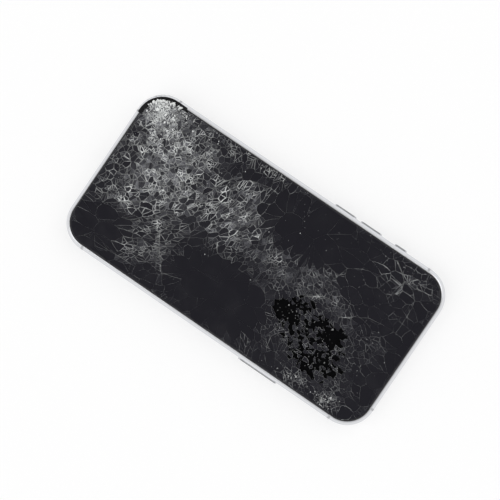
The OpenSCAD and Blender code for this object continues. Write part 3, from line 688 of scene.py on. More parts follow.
    def shards(self, corners: np.ndarray, middle: np.ndarray, chance: random.Random) -> list[np.ndarray]:
        """Make one cell's shards.

        Args:
            corners: the cell's corners, in no order.
            middle: its middle.
            chance: the random numbers.

        Returns:
            The shards' outlines, counter-clockwise.
        """
        spokes = corners - middle
        cell = corners[np.argsort(np.arctan2(spokes[:, 1], spokes[:, 0]))]
        chipped = middle[0] < self.lip_corner[0] and middle[1] < self.lip_corner[1]
        cell = clip(cell, self.screen.outline(self.lip if chipped else 0.0))
        parts = [self.bent(cell)] if len(cell) > 2 else []
        for path in self.paths:
            parts = [piece for part in parts for piece in split(part, path)]
        for _ in range(2):
            parts = [piece for part in parts for piece in self.snapped(part, chance)]
        long_enough = [p[np.hypot(*(p - np.roll(p, -1, axis=0)).T) > self.finest] for p in parts]
        return [p for p in long_enough if len(p) > 2 and area(p) > self.least_area]

    def bent(self, cell: np.ndarray) -> np.ndarray:
        """Bend the long sides a little, the same way on both sides of a crack.

        Args:
            cell: the cell's corners.

        Returns:
            The same corners, with one more in the middle of each bent side.
        """
        out = []
        rim = self.at_rim(cell)
        for a, b, rim_a, rim_b in zip(cell, np.roll(cell, -1, axis=0), rim, np.roll(rim, -1)):
            out.append(a)
            length = float(np.hypot(*(b - a)))
            if length > self.bend_from and not (rim_a and rim_b):
                middle = (a + b) / 2
                sway = (spin(middle[None])[0] - 0.5) * self.bend * length
                first, last = (a, b) if tuple(a) < tuple(b) else (b, a)
                along = (last - first) / length
                out.append(middle + sway * np.array((-along[1], along[0])))
        return np.array(out)

    def at_rim(self, cell: np.ndarray) -> np.ndarray:
        """Whether each corner of a cell lies on the plate's edge."""
        return np.array([self.screen.depth(x, y) < RIM_SLACK for x, y in cell])

    def snapped(self, part: np.ndarray, chance: random.Random) -> list[np.ndarray]:
        """Break a shard in two at random, more often where the glass is crushed.

        Args:
            part: its outline.
            chance: the random numbers.

        Returns:
            One or two outlines.
        """
        middle = part.mean(0)
        size, crush = abs(area(part)), WHITENESS.at(middle[None])[0]
        smallest, largest = self.snap_area
        base, extra = self.snap_chance
        if size < smallest or size > largest or chance.random() > base + extra * crush:
            return [part]
        angle = chance.uniform(0, math.pi)
        reach = np.array((math.cos(angle), math.sin(angle))) * self.snap_reach
        shift = np.array([chance.gauss(0, self.off_centre) for _ in range(2)]) * math.sqrt(size)
        return split(part, np.array([middle + shift - reach, middle + shift + reach]))


# ---------------------------------------------------------------- the cover glass


class Rest(Enum):
    """What a loose grain lies on."""

    GLASS = "half bedded in the cracks"
    DISPLAY = "on the bare display"


@dataclass(frozen=True)
class Heap:
    """A heap of loose grains.

    Attributes:
        x, y: its middle, in millimetres.
        spread_x, spread_y: how far it spreads.
        count: how many grains are dropped.
        size: a grain's usual size.
        white: how white the grains look.
        rest: what they lie on.
    """

    x: float
    y: float
    spread_x: float
    spread_y: float
    count: int
    size: float
    white: float
    rest: Rest = Rest.GLASS


# Middle, spread along x and y, count, size, whiteness.
HEAPS = (
    Heap(-31.0, -67.0, 1.5, 1.7, 34, 1.9, 1.7),
    Heap(-31.5, -62.0, 1.3, 3.2, 22, 1.5, 1.5),
    Heap(-27.0, -61.0, 3.5, 4.0, 40, 1.2, 1.1),
    Heap(-30.5, -66.0, 2.4, 2.6, 220, 0.95, 1.2),
    Heap(-27, -60, 4.5, 5, 150, 0.6, 1.05),
    Heap(-22, -52, 8, 9, 170, 0.42, 0.9),
    Heap(-31, -46, 1.6, 13, 80, 0.5, 0.9),
    Heap(-10, -46, 13, 14, 170, 0.38, 0.8),
    Heap(-10, -14, 8, 9, 60, 0.4, 0.75),
    Heap(30, 38, 1.8, 3.4, 40, 0.5, 0.7),
    Heap(30, 55, 1.7, 2.8, 40, 0.55, 0.85),
    Heap(-28, 51, 3, 6, 46, 0.38, 0.6),
    Heap(13, 34, 6.5, 10, 150, 0.55, 0.3, Rest.DISPLAY),
    Heap(12, 42, 13, 14, 110, 0.36, 0.4),
    Heap(-20, 28, 9, 24, 70, 0.34, 0.35),
    Heap(16, 0, 12, 24, 30, 0.32, 0.3),
)


@dataclass
class CoverGlass:
    """The cover glass as closed shards, with loose grains on them, in the whole plate's place.

    Attributes:
        screen: the plate's place.
        shatter: its cracks in the plane.
        small: the area below which a shard counts as crushed glass.
        loss: the share of shards that fell out of the bare patch.
        loss_middle: the same in its two holes.
        polished: the width of the polished edge round the whole rim.
        hair: half the width of a crack at its bottom.
        slant: how steeply a broken edge falls.
        settle: how far a shard may sink.
        gape, gape_power: a crack's least width and how much wider it may be, as shares of the usual one,
            and how rare the wide ones are.
        clear, clear_power: a clouded face's least haze and how much more it may have, as shares of the
            usual one, and how rare the hazy ones are.
        clear_area: the area above which a shard has less haze.
        bright: a broken side's least whiteness and how much more it may have, as shares of the usual one.
        emphasis: how much wider the long cracks open.
        emphasis_reach: how near to them.
        grain_points: how many points a grain's hull is made of.
        grain_shape: a grain's width and height, as shares of its length.
        grain_rise: how far a grain may stand above the glass.
        grain_inset: how far from the plate's edge the grains lie.
        speck: half the width of the spot that has to lie on the plate for a grain to be dropped there.
        grain_size: the middle and spread of a grain's size, as logarithms of shares of the usual one.
        grain_white: the least and most that its whiteness is of the usual one.
    """

    screen: Screen
    shatter: Shatter
    small: float = 2.0
    loss: float = 0.6
    loss_middle: float = 0.97
    polished: float = 0.28
    hair: float = 0.004
    slant: float = 0.8
    settle: float = 0.04
    gape: tuple[float, float] = (0.15, 1.2)
    gape_power: float = 1.5
    clear: tuple[float, float] = (0.2, 0.8)
    clear_power: int = 2
    clear_area: float = 1.5
    bright: tuple[float, float] = (0.4, 0.95)
    emphasis: float = 1.6
    emphasis_reach: float = 0.5
    grain_points: int = 9
    grain_shape: tuple[float, float] = (0.75, 0.5)
    grain_rise: float = 0.16
    grain_inset: float = 0.35
    speck: float = 0.01
    grain_size: tuple[float, float] = (-0.3, 0.45)
    grain_white: tuple[float, float] = (0.5, 1.3)

    def build(self) -> list[bpy.types.Object]:
        """Build the pieces.

        Returns:
            The crushed glass, the larger shards and the loose grains.
        """
        missing = self.missing()
        left = [cell for index, cell in enumerate(self.shatter.cells) if index not in missing]
        fine = [cell for cell in left if area(cell) < self.small]
        coarse = [cell for cell in left if area(cell) >= self.small]
        log.info("%d small shards and %d large ones", len(fine), len(coarse))
        return [self.shards("crushed_glass", fine), self.shards("glass_shards", coarse), self.grains()]

    def dress(self, pieces: list[bpy.types.Object], material: bpy.types.Material) -> None:
        """Give the pieces their finish and fit them in the frame.

        Args:
            pieces: the pieces.
            material: the glass.
        """
        for piece in pieces:
            piece.data.materials.append(material)
            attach(piece, BODY)
            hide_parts(GLASS_NODE)
            log.info("%s: %d faces", piece.name, len(piece.data.polygons))

    def missing(self) -> set[int]:
        """Pick the shards that fell out of the bare patch.

        Returns:
            Their numbers.
        """
        rng = random.Random(self.shatter.seed + 1)
        middles = np.array([cell.mean(0) for cell in self.shatter.cells])
        holes = np.maximum(PATCH_NEAR.weight(middles), PATCH_FAR.weight(middles)) * self.loss_middle
        loose = np.maximum(PATCH.weight(middles) * self.loss, holes)
        return {index for index, share in enumerate(loose) if rng.random() < share}

    def track(self) -> KDTree:
        """Ready the long cracks' paths to be searched.

        Returns:
            A tree of points along them.
        """
        steps = [a + (b - a) * t for path in self.shatter.paths for a, b in zip(path[:-1], path[1:])
                 for t in (0.0, 0.25, 0.5, 0.75)]
        tree = KDTree(len(steps))
        for index, (x, y) in enumerate(steps):
            tree.insert((x, y, 0), index)
        tree.balance()
        return tree

    def shards(self, name: str, cells: list[np.ndarray]) -> bpy.types.Object:
        """Turn cells into closed shards with a broken edge round each top face.

        Args:
            name: the object's name.
            cells: the shards' outlines.

        Returns:
            The object, with its fracture and haze attributes.
        """
        rng = random.Random(len(cells))
        middles = np.array([cell.mean(0) for cell in cells])
        tilts = TILT.at(middles)
        clouds = HAZE.at(middles) * HAZE_DRIFT.at(middles)
        widths = CRACK_WIDTH.at(middles) * WIDTH_DRIFT.at(middles)
        white = WHITENESS.at(middles) * WHITE_DRIFT.at(middles)
        track = self.track()
        mesh = bmesh.new()
        fracture = mesh.faces.layers.float.new("fracture")
        haze = mesh.faces.layers.float.new("haze")
        for cell, middle, width, whiteness, tilt, cloud in zip(cells, middles, widths, white, tilts, clouds):
            near = np.array([track.find((x, y, 0))[2] for x, y in cell]) / self.emphasis_reach
            width = width * (1 + self.emphasis * np.exp(-near * near))
            lean = np.array([rng.gauss(0, 1), rng.gauss(0, 1)]) * math.tan(math.radians(tilt))
            drop = ((cell - middle) @ lean).max() + rng.random() * self.settle * min(cloud, 1)
            rim = self.shatter.at_rim(cell)
            crack = width * (self.gape[0] + self.gape[1] * spin(cell) ** self.gape_power) / 2
            upper = inset(cell, np.where(rim & np.roll(rim, 1), self.polished, crack),
                          np.where(rim & np.roll(rim, -1), self.polished, crack))
            heights = self.screen.top + (upper - middle) @ lean - drop
            edge = heights - np.hypot(*(upper - cell).T) * self.slant
            hair = np.full(len(cell), self.hair)
            lower = inset(cell, hair, hair)
            rings = [ring(mesh, upper, heights), ring(mesh, lower, edge),
                     ring(mesh, lower, np.full(len(cell), self.screen.bottom))]
            face = mesh.faces.new(rings[0])
            cloud *= self.clear[0] + self.clear[1] * rng.random() ** self.clear_power
            face[haze] = min(1.0, cloud / max(1.0, area(cell) / self.clear_area))
            base = mesh.faces.new(rings[2][::-1])
            level = whiteness * (self.bright[0] + self.bright[1] * rng.random())
            for high, low in zip(rings[:-1], rings[1:]):
                for i in range(len(cell)):
                    j = (i + 1) % len(cell)
                    side = mesh.faces.new((high[i], low[i], low[j], high[j]))
                    side[fracture] = 0.0 if rim[i] and rim[j] else level
            base[fracture] = level
        return finished(name, mesh)

    def grains(self) -> bpy.types.Object:
        """Drop loose grains of glass, most of them at the struck corner, some at the other strikes.

        Returns:
            The object, with its fracture attribute.
        """
        rng = random.Random(self.shatter.seed + 2)
        border = self.screen.outline(self.grain_inset)
        mesh = bmesh.new()
        fracture = mesh.faces.layers.float.new("fracture")
        for heap in HEAPS:
            for _ in range(heap.count):
                x, y = rng.gauss(heap.x, heap.spread_x), rng.gauss(heap.y, heap.spread_y)
                speck = np.array([(x - self.speck, y - self.speck), (x + self.speck, y - self.speck),
                                  (x, y + self.speck)])
                if len(clip(speck, border)) < 3:
                    continue
                size = heap.size * math.exp(rng.gauss(*self.grain_size))
                faces = self.grain(mesh, (x, y), size, heap.rest, rng)
                level = heap.white * rng.uniform(*self.grain_white)
                for face in faces:
                    face[fracture] = level
        return finished("glass_grains", mesh)

    def grain(self, mesh: bmesh.types.BMesh, at: tuple[float, float], size: float, rest: Rest,
              rng: random.Random) -> list[bmesh.types.BMFace]:
        """Add one grain: the hull of a few points about a flattened ball.

        Args:
            mesh: the mesh that takes it.
            at: its place.
            size: its length.
            rest: what it lies on.
            rng: the random numbers.

        Returns:
            Its faces.
        """
        points = []
        wide, high = self.grain_shape
        for _ in range(self.grain_points):
            d = Vector((rng.gauss(0, 1), rng.gauss(0, 1), rng.gauss(0, 1))).normalized()
            points.append(Vector((d.x, d.y * wide, d.z * high)) * size / 2)
        if rest is Rest.DISPLAY:
            level = self.screen.bottom - min(p.z for p in points)
        else:
            level = self.screen.top - max(max(p.z for p in points) - self.grain_rise, 0)
        corners = [mesh.verts.new((p + Vector((*at, level))) * MM) for p in points]
        hull = bmesh.ops.convex_hull(mesh, input=corners, use_existing_faces=False)
        loose = [v for v in hull["geom_interior"] + hull["geom_unused"] if isinstance(v, bmesh.types.BMVert)]
        bmesh.ops.delete(mesh, geom=loose, context="VERTS")
        return [item for item in hull["geom"] if isinstance(item, bmesh.types.BMFace)]


def ring(mesh: bmesh.types.BMesh, points: np.ndarray, heights: np.ndarray) -> list[bmesh.types.BMVert]:
    """Add a ring of corners to a mesh, in metres."""
    return [mesh.verts.new((x * MM, y * MM, z * MM)) for (x, y), z in zip(points, heights)]


# Sides whose angle has a larger sine than this meet at an exact point. A flatter corner moves along the mean
# of its sides' normals, and none moves further than a share of its way to the middle.
SHARP = 0.3
LEAST_MEAN = 0.5
FURTHEST = 0.42


def inset(cell: np.ndarray, before: np.ndarray, after: np.ndarray) -> np.ndarray:
    """Move each corner of a cell inwards.

    Args:
        cell: the corners, counter-clockwise.
        before, after: how far the sides before and after each corner move in.

    Returns:
        The moved corners, none of them as far as the middle.
    """
    sides = cell - np.roll(cell, 1, axis=0), np.roll(cell, -1, axis=0) - cell
    unit = [e / np.maximum(np.hypot(*e.T), TINY)[:, None] for e in sides]
    (x0, y0), (x1, y1) = ((-u[:, 1], u[:, 0]) for u in unit)
    cross = x0 * y1 - y0 * x1
    sharp = np.abs(cross) > SHARP
    safe = np.where(sharp, cross, 1.0)
    exact = np.stack([(before * y1 - after * y0) / safe, (x0 * after - x1 * before) / safe], axis=1)
    total = np.stack([x0 + x1, y0 + y1], axis=1)
    even = total / np.maximum(np.hypot(*total.T), LEAST_MEAN)[:, None] * ((before + after) / 2)[:, None]
    move = np.where(sharp[:, None], exact, even)
    room = FURTHEST * np.hypot(*(cell.mean(0) - cell).T) / np.maximum(np.hypot(*move.T), TINY)
    return cell + move * np.minimum(room, 1)[:, None]


def finished(name: str, mesh: bmesh.types.BMesh) -> bpy.types.Object:
    """Turn a mesh under construction into an object in the scene.

    Args:
        name: the object's name.
        mesh: the mesh, which is freed.

    Returns:
        The object.
    """
    data = bpy.data.meshes.new(name)
    mesh.to_mesh(data)
    mesh.free()
    piece = bpy.data.objects.new(name, data)
    bpy.context.scene.collection.objects.link(piece)
    return piece


# ---------------------------------------------------------------- finishes


class Slot(Enum):
    """The record's material slots."""

    FRAME_METAL = "frame_metal"
    TRAY_METAL = "tray_metal"
    ANTENNA_PLASTIC = "antenna_plastic"
    BACK_GLASS = "back_glass"
    COVER_GLASS = "cover_glass"
    WINDOW_GLASS = "window_glass"
    FLASH_PLASTIC = "flash_plastic"
    CLEAR_ADHESIVE = "clear_adhesive"
    DISPLAY = "display"
    STEEL_SHEET = "steel_sheet"
    BLACK_PLASTIC = "black_plastic"
    GASKET_RUBBER = "gasket_rubber"
    BATTERY_WRAP = "battery_wrap"
    ADHESIVE_TAPE = "adhesive_tape"
    FLEX_CIRCUIT = "flex_circuit"
    CIRCUIT_BOARD = "circuit_board"
    CHIP_PLASTIC = "chip_plastic"
    SCREW_STEEL = "screw_steel"
    WEIGHT_METAL = "weight_metal"
    CARD_PLASTIC = "card_plastic"
    MESH_STEEL = "mesh_steel"
    COIL_COPPER = "coil_copper"
    FERRITE = "ferrite"


# The part of a grain's height from 0 to 1 that most of its surface lies in.
MID = (0.3, 0.7)


@dataclass(frozen=True)
class Finish:
    """A material with a fine grain, patches of colour and uneven gloss, named for what the real one is.

    Attributes:
        name: the material's name.
        colour, worn: its colour, and the colour it varies to.
        roughness: its usual roughness.
        vary: how far roughness varies.
        metallic: 1 for a bare metal.
        grain_mm, depth_mm: the width and height of its surface grain.
        patch_mm: the width of its patches of colour.
        streak: less than 1 draws the grain out along the phone.
        specular: how strongly the surface mirrors, 0.5 for most plastics and glass.
    """

    name: str
    colour: str
    worn: str
    roughness: float = 0.5
    vary: float = 0.1
    metallic: float = 0.0
    grain_mm: float = 0.3
    depth_mm: float = 0.004
    patch_mm: float = 6.0
    streak: float = 1.0
    specular: float = 0.5

    def material(self) -> bpy.types.Material:
        """Build the material.

        Returns:
            A new material.
        """
        material = bpy.data.materials.new(self.name)
        nodes = Nodes(material)
        nodes.fill(nodes.shader, {"Metallic": self.metallic, "Specular IOR Level": self.specular})
        nodes.fill(nodes.shader, self.surface(nodes))
        return material

    def surface(self, nodes: Nodes) -> Inputs:
        """The shader's inputs: patches of colour, uneven gloss and the grain's relief.

        Args:
            nodes: the node tree.

        Returns:
            Each input's name, and its value or the socket that feeds it.
        """
        worn = nodes.patches(self.patch_mm, 4, MID)
        grain = nodes.grain(self.grain_mm, 3, 0.6, (1, self.streak, 1))
        return {
            "Base Color": nodes.add("Mix", {0: worn, 6: self.colour, 7: self.worn}, data_type="RGBA"),
            "Roughness": nodes.patches(self.patch_mm / 3, 5, MID, self.roughness - self.vary,
                                       self.roughness + self.vary),
            "Normal": nodes.add("Bump", {"Height": grain, "Distance": self.depth_mm * MM}),
        }


@dataclass(frozen=True)
class ShardGlass(Finish):
    """Toughened cover glass over a black display that is off: near black and glossy, with pale breaks.

    Attributes:
        shadowed, powdered: a broken side's colours, in the dark of a crack and where it is powdered.
        powder_mm: the width of the powder's grain.
        powder_level: the least and most that the powder brightens a side.
        side_roughness: a broken side's roughness.
        side_from: the fracture above which a face is a broken side.
        smudged: the part of the grain's height over which smudges thicken.
        mottle_mm: the width of the clouds of fine cracks under a shard's face.
        mottle_level: the least and most that they thicken its haze.
    """

    shadowed: str = "17171a"
    powdered: str = "f4f6f5"
    powder_mm: float = 0.35
    powder_level: tuple[float, float] = (0.3, 1.45)
    side_roughness: float = 0.35
    side_from: float = 0.01
    smudged: tuple[float, float] = (0.42, 0.66)
    mottle_mm: float = 0.9
    mottle_level: tuple[float, float] = (0.35, 1.8)

    def surface(self, nodes: Nodes) -> Inputs:
        """The shader's inputs: black glass on the top faces, powdered glass on the broken sides.

        Args:
            nodes: the node tree.

        Returns:
            Each input's name, and its value or the socket that feeds it.
        """
        fracture = nodes.add("Attribute", output="Fac", attribute_name="fracture")
        haze = nodes.add("Attribute", output="Fac", attribute_name="haze")
        mottle = nodes.patches(self.mottle_mm, 3, MID, *self.mottle_level, rough=0.7)
        cloud = nodes.add("Math", {0: haze, 1: mottle}, operation="MULTIPLY", use_clamp=True)
        face = nodes.add("Mix", {0: cloud, 6: self.colour, 7: self.worn}, data_type="RGBA")
        powder = nodes.patches(self.powder_mm, 4, MID, *self.powder_level, rough=0.7)
        level = nodes.add("Math", {0: fracture, 1: powder}, operation="MULTIPLY", use_clamp=True)
        side = nodes.add("Mix", {0: level, 6: self.shadowed, 7: self.powdered}, data_type="RGBA")
        is_side = nodes.add("MapRange", {0: fracture, 1: 0.0, 2: self.side_from})
        smudge = nodes.patches(self.patch_mm, 5, self.smudged, self.roughness, self.roughness + self.vary)
        return {
            "Base Color": nodes.add("Mix", {0: is_side, 6: face, 7: side}, data_type="RGBA"),
            "Roughness": nodes.add("Mix", {0: is_side, 2: smudge, 3: self.side_roughness}),
        }


@dataclass(frozen=True)
class ScuffedSteel(Finish):
    """Satin steel that took knocks: hairlines all over, gouges and a dull rub at the struck corner.

    Attributes:
        knock: where it was struck.
        knock_mm: how near to it the rub is full, and how far it reaches.
        ragged_mm, ragged: the width of the rub's ragged patches, and the heights they fade over.
        hairline_mm, hairline_deep, hairline: a hairline's width and depth, and the heights it fades over.
        gouge_mm, gouge_deep, gouge: the same of a gouge.
        dulled: how much rougher the rub is.
    """

    knock: Triple = (-34.0, -70.0, 4.5)
    knock_mm: tuple[float, float] = (3.85, 11.0)
    ragged_mm: float = 1.1
    ragged: tuple[float, float] = (0.35, 0.6)
    hairline_mm: float = 0.22
    hairline_deep: float = 0.003
    hairline: tuple[float, float] = (0.66, 0.72)
    gouge_mm: float = 0.8
    gouge_deep: float = 0.05
    gouge: tuple[float, float] = (0.5, 0.62)
    dulled: float = 0.25

    def surface(self, nodes: Nodes) -> Inputs:
        """The shader's inputs: soft streaks along the band, then scratches that thicken towards the knock.

        Args:
            nodes: the node tree.

        Returns:
            Each input's name, and its value or the socket that feeds it.
        """
        plain = super().surface(nodes)
        away = nodes.add("VectorMath", {0: nodes.add("TexCoord", output="Object"),
                                        1: tuple(v * MM for v in self.knock)},
                         output="Value", operation="DISTANCE")
        full, none = (reach * MM for reach in self.knock_mm)
        near = nodes.add("MapRange", {0: away, 1: full, 2: none, 3: 1.0, 4: 0.0})
        ragged = nodes.patches(self.ragged_mm, 5, self.ragged, rough=0.7)
        rub = nodes.add("Math", {0: near, 1: ragged}, operation="MULTIPLY")
        lines = nodes.grain(self.hairline_mm, 2, 0.5, (1, 1, 0.05), (0.9, 0.4, 0.3))
        lines = nodes.add("MapRange", {0: lines, 1: self.hairline[0], 2: self.hairline[1]})
        gouges = nodes.grain(self.gouge_mm, 3, 0.6, (1, 0.12, 0.3), (0.2, 0.7, 0.5))
        gouges = nodes.add("MapRange", {0: gouges, 1: self.gouge[0], 2: self.gouge[1]})
        deep = nodes.add("Math", {0: gouges, 1: rub}, operation="MULTIPLY")
        hairlines = nodes.add("Bump", {"Height": lines, "Distance": self.hairline_deep * MM, "Strength": 0.5,
                                       "Normal": plain["Normal"]})
        return {
            "Base Color": nodes.add("Mix", {0: deep, 6: self.colour, 7: self.worn}, data_type="RGBA"),
            "Roughness": nodes.add("Math", {0: rub, 1: self.dulled, 2: plain["Roughness"]},
                                   operation="MULTIPLY_ADD"),
            "Normal": nodes.add("Bump", {"Height": deep, "Distance": self.gouge_deep * MM,
                                         "Normal": hairlines}),
        }


@dataclass(frozen=True)
class ClearWindow(Finish):
    """Sapphire with a clear coating: see-through, hard and glossy, with faint smudges.

    Attributes:
        ior: its refractive index, set below sapphire's 1.77 so that it mirrors less, as a coated window does.
        smudged: the part of the grain's height over which smudges thicken.
    """

    ior: float = 1.6
    smudged: tuple[float, float] = (0.5, 0.8)

    def surface(self, nodes: Nodes) -> Inputs:
        """The shader's inputs: clear glass that lets the lamps through to what is behind it.

        Args:
            nodes: the node tree.

        Returns:
            Each input's name, and its value or the socket that feeds it.
        """
        shadow = nodes.add("LightPath", output="Is Shadow Ray")
        clear = nodes.add("BsdfTransparent")
        through = nodes.add("MixShader", {0: shadow, 1: nodes.shader.outputs[0], 2: clear})
        nodes.fill(nodes.output, {"Surface": through})
        smudge = nodes.patches(self.patch_mm, 5, self.smudged, self.roughness, self.roughness + self.vary)
        return {"Base Color": self.colour, "Transmission Weight": 1.0, "IOR": self.ior, "Roughness": smudge}


@dataclass(frozen=True)
class CoatedLens(Finish):
    """A ridged black barrel round a coated glass element, domed, with the coating's violet to green
    reflection painted into the glass's colour.

    Attributes:
        centre: the barrel's axis.
        glass_mm: the glass element's radius.
        glass_edge: where its edge begins, as a share of that radius.
        glass_roughness: its roughness.
        ridge_mm: the step between the barrel's ridges.
        painted_sheen, painted_sheen_out: the coating's reflection painted into the glass element's colour, at
            the middle and near the edge.
        painted_sheen_span: the shares of the radius over which the painted reflection turns from one colour
            to the other.
    """

    centre: tuple[float, float] = (0.0, 0.0)
    glass_mm: float = 2.0
    glass_edge: float = 0.97
    glass_roughness: float = 0.03
    ridge_mm: float = 0.32
    painted_sheen: str = "3a1c4e"
    painted_sheen_out: str = "0a2a26"
    painted_sheen_span: tuple[float, float] = (0.25, 0.9)

    def surface(self, nodes: Nodes) -> Inputs:
        """The shader's inputs: glass inside its radius, ridged plastic outside it.

        Args:
            nodes: the node tree.

        Returns:
            Each input's name, and its value or the socket that feeds it.
        """
        middle = (self.centre[0] * MM, self.centre[1] * MM, 0)
        offset = nodes.add("VectorMath", {0: nodes.add("TexCoord", output="Object"), 1: middle},
                           operation="SUBTRACT")
        flat = nodes.add("VectorMath", {0: offset, 1: (1, 1, 0)}, operation="MULTIPLY")
        away = nodes.add("VectorMath", {0: flat}, output="Value", operation="LENGTH")
        edge = self.glass_mm * MM
        inside = nodes.add("MapRange", {0: away, 1: edge * self.glass_edge, 2: edge, 3: 1.0, 4: 0.0})
        # Painted reflection: the coating's violet to green reflection is painted into the glass element's
        # colour, violet at the middle turning green towards its edge.
        across = nodes.add("MapRange", {0: away, 1: edge * self.painted_sheen_span[0], 2: edge * self.painted_sheen_span[1]})
        painted_sheen = nodes.add("Mix", {0: across, 6: self.painted_sheen, 7: self.painted_sheen_out}, data_type="RGBA")
        turns = nodes.add("Math", {0: away, 1: math.tau / (self.ridge_mm * MM)}, operation="MULTIPLY")
        ridge = nodes.add("Math", {0: turns}, operation="SINE")
        reach = nodes.add("MapRange", {0: away, 1: 0.0, 2: edge})
        dome = nodes.add("Math", {0: reach, 1: reach}, operation="MULTIPLY")
        relief = nodes.add("Mix", {0: inside, 2: ridge, 3: dome})
        return {
            "Base Color": nodes.add("Mix", {0: inside, 6: self.colour, 7: painted_sheen}, data_type="RGBA"),
            "Roughness": nodes.add("Mix", {0: inside, 2: self.roughness, 3: self.glass_roughness}),
            "Coat Weight": inside,
            "Normal": nodes.add("Bump", {"Height": relief, "Distance": -self.depth_mm * MM}),
        }


@dataclass(frozen=True)
class Glossy(Finish):
    """A polished face with smudges, dust specks and hairline scratches.

    Attributes:
        dust_mm, dusty: a dust speck's width, and the heights it fades over.
        scratch_mm, scratched: the same of a scratch.
        smudged: the part of the grain's height over which smudges thicken.
    """

    dust_mm: float = 0.25
    dusty: tuple[float, float] = (0.74, 0.8)
    scratch_mm: float = 0.3
    scratched: tuple[float, float] = (0.68, 0.74)
    smudged: tuple[float, float] = (0.4, 0.68)

    def surface(self, nodes: Nodes) -> Inputs:
        """The shader's inputs: a deep gloss under finger smudges, with dust.

        Args:
            nodes: the node tree.

        Returns:
            Each input's name, and its value or the socket that feeds it.
        """
        dust = nodes.patches(self.dust_mm, 2, self.dusty, rough=0.5)
        scratches = nodes.grain(self.scratch_mm, 2, 0.5, (1, 0.02, 1), (0, 0, 0.6))
        scratches = nodes.add("MapRange", {0: scratches, 1: self.scratched[0], 2: self.scratched[1]})
        return {
            "Base Color": nodes.add("Mix", {0: dust, 6: self.colour, 7: self.worn}, data_type="RGBA"),
            "Roughness": nodes.patches(self.patch_mm, 5, self.smudged, self.roughness,
                                       self.roughness + self.vary),
            "Normal": nodes.add("Bump", {"Height": scratches, "Distance": self.depth_mm * MM}),
        }


